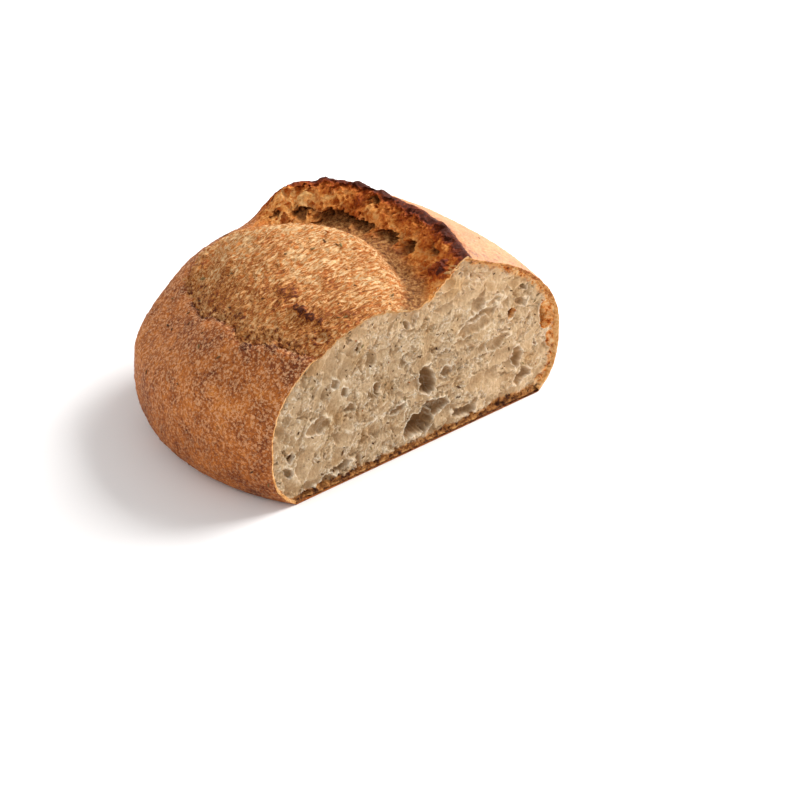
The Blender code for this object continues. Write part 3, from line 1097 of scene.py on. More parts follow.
@dataclass
class CrumbFace:
    """The cut face: a sheet of crumb as deep as its pores, tucked behind the crust's edge.

    Attributes:
        form: the loaf's form.
        outline: the crust's edge on the cut face as rows of x and z, in order.
        pitch: size of the sheet's quads.
        seed: start of the random draws.
    """

    form: LoafForm
    outline: np.ndarray
    pitch: float = 0.31 * MM
    seed: int = 7

    def cells(self, places: np.ndarray, size: float, seed: int) -> tuple[np.ndarray, np.ndarray, np.ndarray]:
        """Cells of foam about points drawn at random.

        Args:
            places: rows of two coordinates in mm.
            size: how far apart the cells' middles are, in mm.
            seed: start of the random draws.

        Returns:
            Distance of each place to its cell's wall, a draw from 0 to 1 that its cell shares, and
            how far it lies from the cell's middle towards the cell's deeper side.
        """
        draw = np.random.default_rng(seed)
        low, high = places.min(axis=0) - size, places.max(axis=0) + size
        middles = draw.uniform(low, high, (int(np.prod(high - low) / size**2), 2))
        luck = draw.random(len(middles))
        tree = KDTree(len(middles))
        for index, (u, v) in enumerate(middles):
            tree.insert((u, v, 0.0), index)
        tree.balance()
        walls, nearest = np.zeros(len(places)), np.zeros(len(places), dtype=int)
        for index, (u, v) in enumerate(places):
            (near, first, near_gap), (far, _, far_gap) = tree.find_n((u, v, 0.0), 2)
            walls[index] = (far_gap**2 - near_gap**2) / (2.0 * (far - near).length)
            nearest[index] = first
        way = draw.normal(math.radians(110), 0.9, len(middles))
        offset = (places - middles[nearest]) / size
        leans = offset[:, 0] * np.cos(way[nearest]) + offset[:, 1] * np.sin(way[nearest])
        return walls, luck[nearest], leans

    def foam(self, flat: np.ndarray) -> tuple[np.ndarray, np.ndarray]:
        """Depth and crest of the foam of cells.

        Args:
            flat: places on the face in mm, one a row, with y as 0.

        Returns:
            Depths in mm, and how near the crest of a wall each place is.
        """
        x = flat[:, 0] + layered(flat, (1.7, 7.0, 3.0), (1.1, 2.2, 5.0), (0.5, 0.9, 6.0))
        z = flat[:, 2] + layered(flat, (1.7, 7.0, 9.0), (1.1, 2.2, 11.0), (0.5, 0.9, 12.0))
        # The cells lie nearly flat on the right and stand steeper on the left, as the dough was stretched.
        leaning = smooth(4.0, -4.0, flat[:, 0] + 14.0 * noise_at(flat, 18.0, 27.0) + 15.0) > 0.5
        turn = np.where(leaning, math.radians(58), math.radians(12))
        along, over = x * np.cos(turn) + z * np.sin(turn), z * np.cos(turn) - x * np.sin(turn)
        places = np.stack([along / 1.5, over * 1.1 + np.where(leaning, 400.0, 0.0)], axis=1)
        depth, crest = np.zeros(len(flat)), np.zeros(len(flat))
        whole = np.ones(len(flat))
        broken = smooth(-0.25, 0.45, noise_at(flat, 3.0, 15.0))
        # Each size of cell fills what the one before it left whole.
        for size, share_open, deep, seed in ((6.8, 0.30, 1.6, 1), (3.2, 0.42, 1.3, 2), (1.5, 0.70, 1.0, 3)):
            wall, luck, lean = self.cells(places, size, self.seed + seed)
            depth_here = deep * (0.4 + luck / share_open) * np.clip(0.75 + 1.1 * lean, 0.12, 1.4)
            bowl = np.sqrt(1.0 - (1.0 - np.clip(wall / (0.36 * size), 0.0, 1.0)) ** 2)
            is_open = luck < share_open
            depth += whole * is_open * depth_here * bowl
            # The crest share is painted as a highlight by the finish.
            crest = np.maximum(crest, whole * bell(wall, 0.26) * (0.2 + 0.8 * is_open) * broken)
            whole = whole * ~is_open
        grain = 0.9 * (0.8 - ridges_at(flat, 1.7, 17.0, octaves=2)) + 0.35 * noise_at(flat, 1.0, 19.0)
        return depth + (0.4 + 0.6 * whole) * grain, crest

    def relief(self, x: np.ndarray, z: np.ndarray) -> tuple[np.ndarray, np.ndarray, np.ndarray]:
        """Depth of the crumb behind the cut plane.

        Args:
            x: places across, in mm.
            z: heights, in mm.

        Returns:
            Depths in mm, how near a wall's crest each place is, and how golden it is.
        """
        flat = np.stack([x, np.zeros(len(x)), z], axis=1)
        depth, crest = self.foam(flat)
        warped_x = x + layered(flat, (2.2, 6.0, 31.0), (1.1, 2.2, 33.0), (0.4, 0.9, 34.0))
        warped_z = z + layered(flat, (2.2, 6.0, 35.0), (1.1, 2.2, 37.0), (0.4, 0.9, 38.0))
        broken = smooth(-0.6, 0.1, noise_at(flat, 2.6, 41.0))
        golden = np.zeros(len(x))
        for pore in MEASURED_PORES:
            reach = pore.reach(warped_x, warped_z)
            cap = pore.cap(warped_x, warped_z)
            edge = bell((reach - 1.06) * min(pore.half_wide, pore.half_high), 0.4) * broken
            depth = np.where(reach < 1.0, cap + 0.35 * depth, depth * (1.0 - 0.8 * edge))
            crest = np.maximum(crest * (0.4 + 0.6 * (reach > 1.0)), edge)
            if pore.golden:
                golden = np.maximum(golden, smooth(1.2, 0.95, reach))
        slow = layered(flat, (0.5, 21.0, 21.0), (0.45, 8.0, 23.0))
        return depth + slow + 0.9, crest, golden

    def inside(self, x: np.ndarray, z: np.ndarray) -> np.ndarray:
        """Which places lie inside the outline.

        Args:
            x: places across.
            z: heights, in the same shape.

        Returns:
            True for each place inside it, in the same shape.
        """
        start, end = self.outline, np.roll(self.outline, -1, axis=0)
        crossings = np.zeros(x.shape, dtype=int)
        for (x0, z0), (x1, z1) in zip(start, end):
            spans = (z0 > z) != (z1 > z)
            with np.errstate(divide="ignore", invalid="ignore"):
                crossings += spans & (x < (x1 - x0) * (z - z0) / (z1 - z0) + x0)
        return crossings % 2 == 1

    def edge_distance(self, points: np.ndarray) -> np.ndarray:
        """Distance to the outline, capped at 12 mm.

        Args:
            points: rows of x and z.

        Returns:
            Distances in metres, one a point.
        """
        fine = []
        start, end = self.outline, np.roll(self.outline, -1, axis=0)
        for (x0, z0), (x1, z1) in zip(start, end):
            count = max(1, int(math.hypot(x1 - x0, z1 - z0) / (0.4 * MM)))
            fine += [(x0 + (x1 - x0) * k / count, z0 + (z1 - z0) * k / count) for k in range(count)]
        tree = KDTree(len(fine))
        for index, (px, pz) in enumerate(fine):
            tree.insert((px, 0.0, pz), index)
        tree.balance()
        return np.array([min(tree.find((px, 0.0, pz))[2], 12 * MM) for px, pz in points])

    def sheet(
        self,
        name: str,
        rows: np.ndarray,
        columns: np.ndarray,
        places: np.ndarray,
        amounts: dict[str, np.ndarray],
        material: bpy.types.Material,
    ) -> bpy.types.Object:
        """Makes one part of the sheet.

        Args:
            name: its name.
            rows: each point's row in the grid.
            columns: each point's column.
            places: where each point is.
            amounts: arrays of floats to store on the points, by name.
            material: the crumb's material.

        Returns:
            The object.
        """
        mesh = bmesh.new()
        layers = {key: mesh.verts.layers.float.new(key) for key in amounts}
        placed = {}
        for index, key in enumerate(zip(rows, columns)):
            vertex = mesh.verts.new(places[index])
            for amount, layer in layers.items():
                vertex[layer] = amounts[amount][index]
            placed[key] = vertex
        for row, column in list(placed):
            keys = ((row, column), (row, column + 1), (row + 1, column + 1), (row + 1, column))
            corners = [placed.get(key) for key in keys]
            if all(corners):
                mesh.faces.new(corners)
        bmesh.ops.translate(mesh, verts=mesh.verts, vec=self.form.shift)
        return object_from(mesh, name, material)

    def build(self, material: bpy.types.Material) -> list[bpy.types.Object]:
        """Makes the face in two halves.

        Args:
            material: the crumb's material.

        Returns:
            The two objects.
        """
        low, high = self.outline.min(axis=0), self.outline.max(axis=0)
        columns = int((high[0] - low[0]) / self.pitch) + 1
        rows = int((high[1] - low[1]) / self.pitch) + 1
        across = low[0] + self.pitch * np.arange(columns + 1)
        x, z = np.meshgrid(across, low[1] + self.pitch * np.arange(rows + 1))
        row, column = np.nonzero(self.inside(x, z))
        x, z = x[row, column], z[row, column]
        distance = self.edge_distance(np.stack([x, z], axis=1))
        kept = distance > 0.35 * MM
        row, column, x, z, distance = row[kept], column[kept], x[kept], z[kept], distance[kept]
        depth, crest, golden = self.relief(x / MM, z / MM)
        depth = 0.25 * MM + np.clip(depth * MM, -0.2 * MM, None) * smooth(0.0, 1.6 * MM, distance)
        band = (1.8 + 2.8 * smooth(15 * MM, 60 * MM, x)) * MM
        places = np.stack([x, self.form.dome.cut_y + depth, z], axis=1)
        # The depth is stored as pit, which the finish paints darker as shade.
        pit, skin, base = depth / (6.5 * MM), (distance / band) * (1.0 - 0.85 * golden), z / (12 * MM)
        # Painted light: the crumb is made paler towards the right and the top, where the key light grazes the
        # face.
        pale = 0.35 * smooth(10 * MM, 60 * MM, x) + 0.65 * smooth(55 * MM, 78 * MM, z)
        amounts = dict(zip(CRUMB_AMOUNTS, (pit, crest, skin, base, pale)))
        middle = columns // 2
        halves = []
        for name, chosen in (("crumb_left", column <= middle), ("crumb_right", column >= middle)):
            part = {key: values[chosen] for key, values in amounts.items()}
            halves.append(self.sheet(name, row[chosen], column[chosen], places[chosen], part, material))
        return halves


# Flecks that stand out on the crumb: how far across and how high in mm, their length, and their turn.
MEASURED_FLECKS = (
    (-76.9, 23.7, 2.9, 40),
    (-72.6, 35.3, 2.6, 70),
    (-47.2, 14.7, 3.0, 60),
    (-34.0, 18.4, 1.8, 10),
    (-48.2, 26.7, 1.6, 80),
    (-37.1, 64.1, 3.0, 65),
    (-35.3, 65.4, 2.4, 55),
    (-45.8, 68.8, 2.2, 50),
    (-44.3, 56.1, 1.6, 20),
    (-30.4, 52.9, 2.8, 120),
    (-56.0, 50.9, 2.0, 110),
    (-55.5, 47.6, 2.0, 130),
    (-30.8, 36.5, 2.2, 120),
    (-21.1, 40.6, 2.6, 60),
    (-16.9, 36.9, 3.0, 120),
    (-63.5, 66.3, 2.0, 50),
    (-44.0, 76.1, 2.4, 75),
    (32.7, 76.8, 3.0, 170),
    (24.2, 81.0, 2.0, 40),
    (66.4, 60.8, 2.8, 20),
    (10.9, 46.4, 2.6, 110),
    (23.9, 21.9, 3.2, 150),
)


# Flecks that stand out on the crust: their places and lengths in mm.
MEASURED_CRUST_FLECKS = (
    (-29.9, 15.0, 87.5, 2.4),
    (-65.7, 11.0, 73.8, 2.4),
    (-54.9, 44.1, 68.0, 2.2),
    (-61.0, 41.2, 63.9, 3.0),
    (-37.7, -31.1, 81.9, 2.2),
    (-23.3, -32.2, 83.8, 2.8),
    (-43.5, -44.4, 76.2, 2.0),
    (-17.9, -13.7, 86.0, 1.8),
    (-23.4, -26.2, 84.5, 1.6),
    (-91.5, 11.0, 56.6, 1.8),
    (-94.5, -11.3, 52.8, 3.0),
)


@dataclass
class SeedFlecks:
    """Broken seeds and hulls baked into the crust and the crumb.

    Attributes:
        on_crumb: how many are drawn on the crumb.
        on_crust: how many are drawn on the crust.
        seed: start of the random draws.
    """

    on_crumb: int = 140
    on_crust: int = 60
    seed: int = 23

    def one(
        self,
        mesh: bmesh.types.BMesh,
        tint_layer: object,
        place: Vector,
        normal: Vector,
        length: float,
        turn: float,
        tint: float,
    ) -> None:
        """Adds one fleck, an egg with pinched ends lying on a surface.

        Args:
            mesh: the bmesh that holds every fleck.
            tint_layer: the layer for its tint.
            place: the point it lies on.
            normal: the surface's normal there.
            length: its length in metres.
            turn: its turn about the normal, in radians.
            tint: its tint, from 0 to 1.
        """
        turned = normal.to_track_quat("Z", "Y").to_matrix().to_4x4() @ Matrix.Rotation(turn, 4, "Z")
        sizes = Matrix.Diagonal((length / 2, length * 0.19, length * 0.12, 1.0))
        made = bmesh.ops.create_uvsphere(mesh, u_segments=8, v_segments=6, radius=1.0)["verts"]
        for vertex in made:
            across = Matrix.Rotation(math.pi / 2, 3, "Y") @ vertex.co
            pinch = 1.0 - 0.45 * across.x * across.x
            across.y *= pinch
            across.z *= pinch
            vertex.co = Matrix.Translation(place) @ turned @ sizes @ across
            vertex[tint_layer] = tint

    def build(
        self,
        crumbs: list[bpy.types.Object],
        shells: list[bpy.types.Object],
        material: bpy.types.Material,
    ) -> bpy.types.Object:
        """Makes every fleck as one piece.

        Args:
            crumbs: the crumb's objects.
            shells: the crust's objects.
            material: the flecks' material.

        Returns:
            The object.
        """
        draw = np.random.default_rng(self.seed)
        mesh = bmesh.new()
        tint_layer = mesh.verts.layers.float.new("tint")
        places = np.array([v.co for crumb in crumbs for v in crumb.data.vertices])
        flat = places[:, [0, 2]] / MM
        spots = []
        for across, height, length, degrees in MEASURED_FLECKS:
            gap = np.hypot(flat[:, 0] - (across + SHIFT_X / MM), flat[:, 1] - height)
            spots.append((int(np.argmin(gap)), length, math.radians(degrees)))
        for index in draw.integers(0, len(places), self.on_crumb):
            spots.append((int(index), draw.uniform(0.8, 2.2), draw.uniform(0, math.pi)))
        for index, length, turn in spots:
            normal = Vector((draw.normal(0, 0.25), -1.0, draw.normal(0, 0.25))).normalized()
            place = Vector(places[index]) + normal * 0.15 * MM
            self.one(mesh, tint_layer, place, normal, length * MM, turn, draw.random())
        crust = [shell for shell in shells if shell.name != "crust_ear"]
        crown = crust[0].data
        crown_places = np.array([v.co for v in crown.vertices])
        shift = np.array([SHIFT_X, places[:, 1].min() + Dome().cut_before_middle, 0.0]) / MM
        for x, y, z, length in MEASURED_CRUST_FLECKS:
            gap = np.linalg.norm(crown_places / MM - np.array([x, y, z]) - shift, axis=1)
            vertex = crown.vertices[int(np.argmin(gap))]
            place = vertex.co + vertex.normal * 0.1 * MM
            self.one(mesh, tint_layer, place, vertex.normal, length * MM, draw.uniform(0, math.pi), 0.2)
        for shell, share in zip(crust, (0.6, 0.4)):
            rim = shell.data.attributes[Zone.RIM.value].data
            for index in draw.integers(0, len(shell.data.vertices), int(self.on_crust * share)):
                vertex = shell.data.vertices[int(index)]
                if rim[int(index)].value > 0 or vertex.co.z < 3 * MM:
                    continue
                place = vertex.co + vertex.normal * 0.08 * MM
                length, turn = draw.uniform(1.4, 3.4) * MM, draw.uniform(0, math.pi)
                self.one(mesh, tint_layer, place, vertex.normal, length, turn, draw.random())
        return object_from(mesh, "seed_flecks", material)


def linear(code: str) -> tuple[float, ...]:
    """A colour given as sRGB hex, as linear RGBA for a shader.

    Args:
        code: six hex digits after a hash.

    Returns:
        Red, green, blue and 1.
    """
    parts = [int(code[i : i + 2], 16) / 255 for i in (1, 3, 5)]
    return (*(p / 12.92 if p <= 0.04045 else ((p + 0.055) / 1.055) ** 2.4 for p in parts), 1.0)


NOISE, MATH, STEP = "ShaderNodeTexNoise", "ShaderNodeMath", "ShaderNodeMapRange"
RAMP, MIX, BUMP = "ShaderNodeValToRGB", "ShaderNodeMix", "ShaderNodeBump"
STORED, PLACE, SCALED = "ShaderNodeAttribute", "ShaderNodeTexCoord", "ShaderNodeVectorMath"
TIMES, LESS = {"operation": "MULTIPLY"}, {"operation": "SUBTRACT"}
PLUS, TIMES_PLUS = {"operation": "ADD"}, {"operation": "MULTIPLY_ADD"}
SOFT = {"interpolation_type": "SMOOTHSTEP"}
COLOURS = {"data_type": "RGBA"}
TINTED = {"data_type": "RGBA", "blend_type": "MULTIPLY"}


@dataclass(frozen=True)
class Pattern:
    """Noise over a surface, centred on 0.5.

    Attributes:
        size: how wide its bumps are, in mm.
        detail: how many finer layers it has.
        roughness: how strong those layers are.
        stretch: how dense it is along each axis, 1 where it isn't stretched.
        swirl: how far it is distorted.
    """

    size: float
    detail: float = 2.0
    roughness: float = 0.5
    stretch: tuple[float, float, float] = (1.0, 1.0, 1.0)
    swirl: float = 0.0


class Paint:
    """The shader nodes of one new material."""

    def __init__(self, name: str, patterns: dict[str, Pattern]) -> None:
        """Starts the material with its patterns.

        Args:
            name: the material's name.
            patterns: its patterns by name.
        """
        self.material = bpy.data.materials.new(name)
        self.material.use_nodes = True
        self.tree = self.material.node_tree
        self.seen: dict[str, bpy.types.NodeSocket] = {}
        for key, pattern in patterns.items():
            place = self.add(PLACE, (), out="Object")
            inputs = {
                "Vector": self.add(SCALED, (place, pattern.stretch), TIMES),
                "Scale": 1.0 / (pattern.size * MM),
                "Detail": pattern.detail,
                "Roughness": pattern.roughness,
                "Distortion": pattern.swirl,
            }
            self.seen[key] = self.add(NOISE, inputs)

    def connect(self, node: bpy.types.Node, inputs: dict[int | str, object]) -> None:
        """Sets a node's inputs.

        Args:
            node: the node.
            inputs: a value, or another node's output to link, for each input's name or number.
        """
        for key, value in inputs.items():
            if isinstance(value, bpy.types.NodeSocket):
                self.tree.links.new(value, node.inputs[key])
            else:
                node.inputs[key].default_value = value

    def add(
        self,
        kind: str,
        inputs: dict[int | str, object] | tuple,
        settings: dict[str, str] | None = None,
        out: int | str = 0,
        stops: tuple[tuple[float, str], ...] = (),
    ) -> bpy.types.NodeSocket:
        """Adds one node with its settings and links.

        Args:
            kind: the node's type.
            inputs: values or other nodes' outputs, in order, or by the input's name or number.
            settings: the node's properties by name.
            out: which output is wanted, by name or number.
            stops: a colour ramp's positions and sRGB hex colours.

        Returns:
            That output.
        """
        node = self.tree.nodes.new(kind)
        for key, value in (settings or {}).items():
            setattr(node, key, value)
        self.connect(node, inputs if isinstance(inputs, dict) else dict(enumerate(inputs)))
        if stops:
            elements = node.color_ramp.elements
            for position, _ in stops[2:]:
                elements.new(position)
            for element, (position, code) in zip(elements, sorted(stops)):
                element.position, element.color = position, linear(code)
        return node.outputs[out]

    def finish(self, bumps: tuple[tuple[object, float], ...], **inputs: object) -> bpy.types.Material:
        """Wires the shader up.

        Args:
            bumps: heights from 0 to 1 and what each is worth in mm, the coarsest first.
            inputs: the shader's inputs, with underscores for spaces.

        Returns:
            The material.
        """
        named = {key.replace("_", " "): value for key, value in inputs.items()}
        for height, depth in bumps:
            before = {"Normal": named["Normal"]} if "Normal" in named else {}
            sockets = {"Height": height, "Distance": depth * MM, "Strength": 1.0, **before}
            named["Normal"] = self.add(BUMP, sockets)
        self.connect(self.tree.nodes["Principled BSDF"], named)
        return self.material


BAKED = (
    (0.00, "#ECC693"),
    (0.15, "#E6AF74"),
    (0.32, "#D58A42"),
    (0.48, "#B96827"),
    (0.62, "#9E551E"),
    (0.76, "#793810"),
    (0.88, "#5E280B"),
    (1.00, "#471A07"),
)
TORN = (
    (0.00, "#F8C080"),
    (0.20, "#EBA354"),
    (0.42, "#CE772C"),
    (0.60, "#A84D0E"),
    (0.78, "#7C2F06"),
    (1.00, "#481907"),
)
TORN_SKIN = ((0.38, "#F0BE84"), (0.49, "#CF8440"), (0.58, "#6C2E0D"))
# Painted shade for the hollows at the foot of the ear's wall: dark browns.
HOLLOW_SHADE = ((0.32, "#B27A42"), (0.50, "#855020"), (0.66, "#451E08"))
VALLEY_FLOOR = ((0.38, "#C6945A"), (0.50, "#8E5826"), (0.60, "#4C250B"))
CUT_RIM = ((0.34, "#EDC490"), (0.54, "#D79B58"), (0.74, "#A05A24"))
# Painted shade: the crumb's colour runs darker with the depth of its pits.
CRUMB_DEPTH_SHADE = ((0.04, "#E2CDAE"), (0.20, "#C5A782"), (0.42, "#AD8D68"), (1.0, "#8A6743"))
UNDER_CRUST = ((0.36, "#F5CE98"), (0.50, "#E8A45C"), (0.58, "#CB7028"), (0.67, "#6A240A"))
ABOVE_BASE = ((0.36, "#CD9558"), (0.50, "#98602E"), (0.60, "#45200B"))
HULLS = ((0.0, "#4A2E1A"), (0.45, "#6A4A2A"), (0.70, "#7E663C"), (0.86, "#968254"), (0.96, "#A2551F"))

CRUST_PATTERNS = {
    "patches": Pattern(10.0, 4.0, 0.60),
    "mottle": Pattern(2.0, 4.0, 0.75),
    "streaks": Pattern(1.7, 4.0, 0.75, (0.25, 1.0, 1.0), 1.4),
    "finer": Pattern(1.2, 4.0, 0.75, (0.6, 1.0, 1.0)),
    # Flour grains are far finer than a pixel, so they are drawn as coarse clusters.
    "flour": Pattern(1.45, 4.0, 0.75),
    "scorch": Pattern(1.9, 3.0, 0.7, swirl=0.8),
    "torn skin": Pattern(2.4, 4.0, 0.75),
    "cream": Pattern(4.5, 4.0, 0.7),
    "hollow": Pattern(2.0, 4.0, 0.7),
    "valley": Pattern(2.2, 4.0, 0.75),
    "rim": Pattern(2.0, 3.0, 0.7),
    "grain": Pattern(0.45),
}
CRUMB_PATTERNS = {
    "fibres": Pattern(1.5, 4.0, 0.75),
    "blotches": Pattern(14.0),
    "skin edge": Pattern(2.2, 3.0),
    "golden": Pattern(3.0, 4.0, 0.7),
    "base edge": Pattern(4.5, 3.0),
    "brown": Pattern(4.2, 4.0, 0.7),
    "grain": Pattern(0.5),
}
HULL_PATTERNS = {"veins": Pattern(0.8), "grain": Pattern(0.3)}


@dataclass(frozen=True)
class CrustFinish:
    """Baked crust of wheat dough, browned by the oven and left floury."""

    name: str = "baked_crust"
    roughness: float = 0.72
    specular: float = 0.22

    def wall(self, paint: Paint, zone: dict[Zone, object], level: object) -> object:
        """Colour of the torn wall under the ear, with its cream patches, and its hollows painted in dark
        browns as shade.

        Args:
            paint: the material's nodes.
            zone: how much of each zone there is.
            level: how dark the crust is.

        Returns:
            The colour.
        """
        add, seen = paint.add, paint.seen
        # Painted shade: the torn wall is painted darker the deeper its pores are.
        darker = add(MATH, (zone[Zone.PIT], 0.12, level), TIMES_PLUS)
        unburnt = add(MATH, (0.85, add(MATH, (zone[Zone.BURNT], 1.6), TIMES)), LESS)
        cream = add(STEP, (seen["cream"], 0.50, 0.58), SOFT)
        cream = add(MATH, (cream, add(STEP, (unburnt, 0.0, 0.8), SOFT)), TIMES)
        # Painted shade: the hollows are coloured in dark browns, more of them the deeper the hollow.
        inner = add(RAMP, (seen["hollow"],), stops=HOLLOW_SHADE)
        torn = add(RAMP, (darker,), stops=TORN)
        torn = add(MIX, {0: cream, 6: torn, 7: linear("#E0B474")}, COLOURS, 2)
        return add(MIX, {0: add(STEP, (zone[Zone.HOLLOW], 0.20, 0.80), SOFT), 6: torn, 7: inner}, COLOURS, 2)

    def make(self) -> bpy.types.Material:
        """Mixes the crust's colours, coat over coat.

        Returns:
            The material.
        """
        # The oven's browning sets the colour, flour dulls it, and the dry skin has hardly any gloss.
        paint = Paint(self.name, CRUST_PATTERNS)
        add, seen = paint.add, paint.seen
        zone = {part: add(STORED, (), {"attribute_name": part.value}, "Fac") for part in Zone}
        lobe, ridge = zone[Zone.LOBE], zone[Zone.RIDGE]
        patchy = add(MATH, (seen["patches"], 0.5), LESS)
        streaks = add(STEP, (seen["streaks"], 0.40, 0.60), SOFT)
        streaked = add(MATH, (add(MATH, (streaks, 0.5), LESS), lobe), TIMES)
        mottled = add(MATH, (seen["finer"], 0.6, add(MATH, (seen["mottle"], 0.4), TIMES)), TIMES_PLUS)
        level = zone[Zone.BURNT]
        for change, amount in ((patchy, 0.70), (add(MATH, (mottled, 0.5), LESS), 1.50), (streaked, 0.46)):
            level = add(MATH, (change, amount, level), TIMES_PLUS)
        skin = add(MATH, (add(MATH, (1.0, lobe), LESS), add(MATH, (zone[Zone.WALL], ridge), PLUS)), LESS)
        flour = add(STEP, (seen["flour"], 0.49, 0.58), SOFT)
        flour = add(MATH, (flour, add(STEP, (skin, 0.2, 0.8), SOFT)), TIMES)
        flour = add(MATH, (flour, add(MATH, (zone[Zone.LOW], -0.30, 0.66), TIMES_PLUS)), TIMES)
        scorch = add(STEP, (seen["scorch"], 0.60, 0.68), SOFT)
        scorch = add(MATH, (scorch, add(MATH, (lobe, -0.25, 0.45), TIMES_PLUS)), TIMES)
        # Pale coat on the crust behind the ear, facing the key light: partly flour, partly painted highlight.
        pale = add(MATH, (zone[Zone.OUTER], add(STEP, (ridge, 0.35, 0.05), SOFT)), TIMES)
        edge = add(MATH, (patchy, 1.0, zone[Zone.EDGE]), TIMES_PLUS)
        valley = add(STEP, (zone[Zone.VALLEY], 0.3, 0.9), SOFT)
        rim = add(MATH, (zone[Zone.OUTER], 0.16, seen["rim"]), TIMES_PLUS)
        colour = add(RAMP, (level,), stops=BAKED)
        for share, coat in (
            (flour, linear("#E4AC7C")),
            (scorch, linear("#7A4019")),
            # Partly flour, partly painted highlight on the side facing the key light.
            (add(MATH, (pale, 0.50), TIMES), linear("#D2A58A")),
            (add(STEP, (edge, 0.20, 0.60), SOFT), add(RAMP, (seen["torn skin"],), stops=TORN_SKIN)),
            (add(STEP, (zone[Zone.WALL], 0.1, 0.7), SOFT), self.wall(paint, zone, level)),
            (add(MATH, (valley, 0.8), TIMES), add(RAMP, (seen["valley"],), stops=VALLEY_FLOOR)),
            (zone[Zone.RIM], add(RAMP, (rim,), stops=CUT_RIM)),
        ):
            colour = add(MIX, {0: share, 6: colour, 7: coat}, COLOURS, 2)
        return paint.finish(
            ((add(MATH, (streaks, lobe), TIMES), 0.35), (seen["mottle"], 0.5), (seen["grain"], 0.22)),
            Base_Color=colour,
            Roughness=self.roughness,
            Specular_IOR_Level=self.specular,
        )


@dataclass(frozen=True)
class CrumbFinish:
    """Open wheat crumb: cream strands with a painted highlight on their crests, over pits painted darker as
    shade, paler where painted light falls on the top and the right, golden beside the crust.
    """

    name: str = "bread_crumb"
    roughness: float = 0.85
    specular: float = 0.2
    scatter: float = 0.10

    def make(self) -> bpy.types.Material:
        """Mixes the crumb's colours, coat over coat.

        Returns:
            The material.
        """
        # The dry, spongy walls are matt, and a little light goes through them and softens their shade.
        paint = Paint(self.name, CRUMB_PATTERNS)
        add, seen = paint.add, paint.seen
        stored = {key: add(STORED, (), {"attribute_name": key}, "Fac") for key in CRUMB_AMOUNTS}
        # Painted shade: the deeper a pit, the darker its colour.
        level = add(MATH, (add(MATH, (seen["fibres"], 0.5), LESS), 0.75, stored["pit"]), TIMES_PLUS)
        skin = add(MATH, (add(MATH, (seen["skin edge"], 0.5), LESS), 1.2, stored["skin"]), TIMES_PLUS)
        base = add(MATH, (add(MATH, (seen["base edge"], 0.5), LESS), 0.42, stored["base"]), TIMES_PLUS)
        # Painted shade: deep golden pockets are painted dark brown.
        deep = add(STEP, (stored["pit"], 0.50, 0.75), SOFT)
        golden = add(RAMP, (seen["golden"],), stops=UNDER_CRUST)
        golden = add(MIX, {0: deep, 6: golden, 7: linear("#7A4615")}, COLOURS, 2)
        colour = add(RAMP, (level,), stops=CRUMB_DEPTH_SHADE)
        for share, coat, blend in (
            # Painted highlight: the crests of the cells' walls are painted pale cream.
            (add(MATH, (stored["crest"], 0.70), TIMES), linear("#F1E2CA"), COLOURS),
            # Painted light: paler cream towards the right and the top of the face.
            (add(MATH, (stored["pale"], 0.58), TIMES), linear("#FBD2A2"), COLOURS),
            (add(STEP, (seen["blotches"], 0.45, 0.75), SOFT), linear("#EADCC6"), TINTED),
            (add(STEP, (skin, 1.15, 0.45), SOFT), golden, COLOURS),
            (add(STEP, (base, 0.36, 0.24), SOFT), add(RAMP, (seen["brown"],), stops=ABOVE_BASE), COLOURS),
        ):
            colour = add(MIX, {0: share, 6: colour, 7: coat}, blend, 2)
        return paint.finish(
            ((seen["fibres"], 0.45), (seen["grain"], 0.2)),
            Base_Color=colour,
            Roughness=self.roughness,
            Specular_IOR_Level=self.specular,
            Subsurface_Weight=self.scatter,
            Subsurface_Scale=1.0,
            Subsurface_Radius=(0.8 * MM, 0.5 * MM, 0.3 * MM),
        )


@dataclass(frozen=True)
class FleckFinish:
    """Toasted seed hulls, from nearly black to olive and rust."""

    name: str = "seed_hull"
    roughness: float = 0.7
    specular: float = 0.15

    def make(self) -> bpy.types.Material:
        """Gives each hull its own tint.

        Returns:
            The material.
        """
        # Toasting leaves the hulls dull, each of its own brown with faint veins.
        paint = Paint(self.name, HULL_PATTERNS)
        tint = paint.add(STORED, (), {"attribute_name": "tint"}, "Fac")
        veined = paint.add(MATH, (paint.seen["veins"], 0.5), LESS)
        level = paint.add(MATH, (veined, 0.2, tint), TIMES_PLUS)
        return paint.finish(
            ((paint.seen["grain"], 0.1),),
            Base_Color=paint.add(RAMP, (level,), stops=HULLS),
            Roughness=self.roughness,
            Specular_IOR_Level=self.specular,
        )


@dataclass(frozen=True)
class StageFinish:
    """Plain pale floor, painted matt so that it only catches the shadow."""

    name: str = "pale_floor"
    roughness: float = 0.9

    def make(self) -> bpy.types.Material:
        """The floor's material."""
        return Paint(self.name, {}).finish((), Base_Color=linear("#F8F6F5"), Roughness=self.roughness)


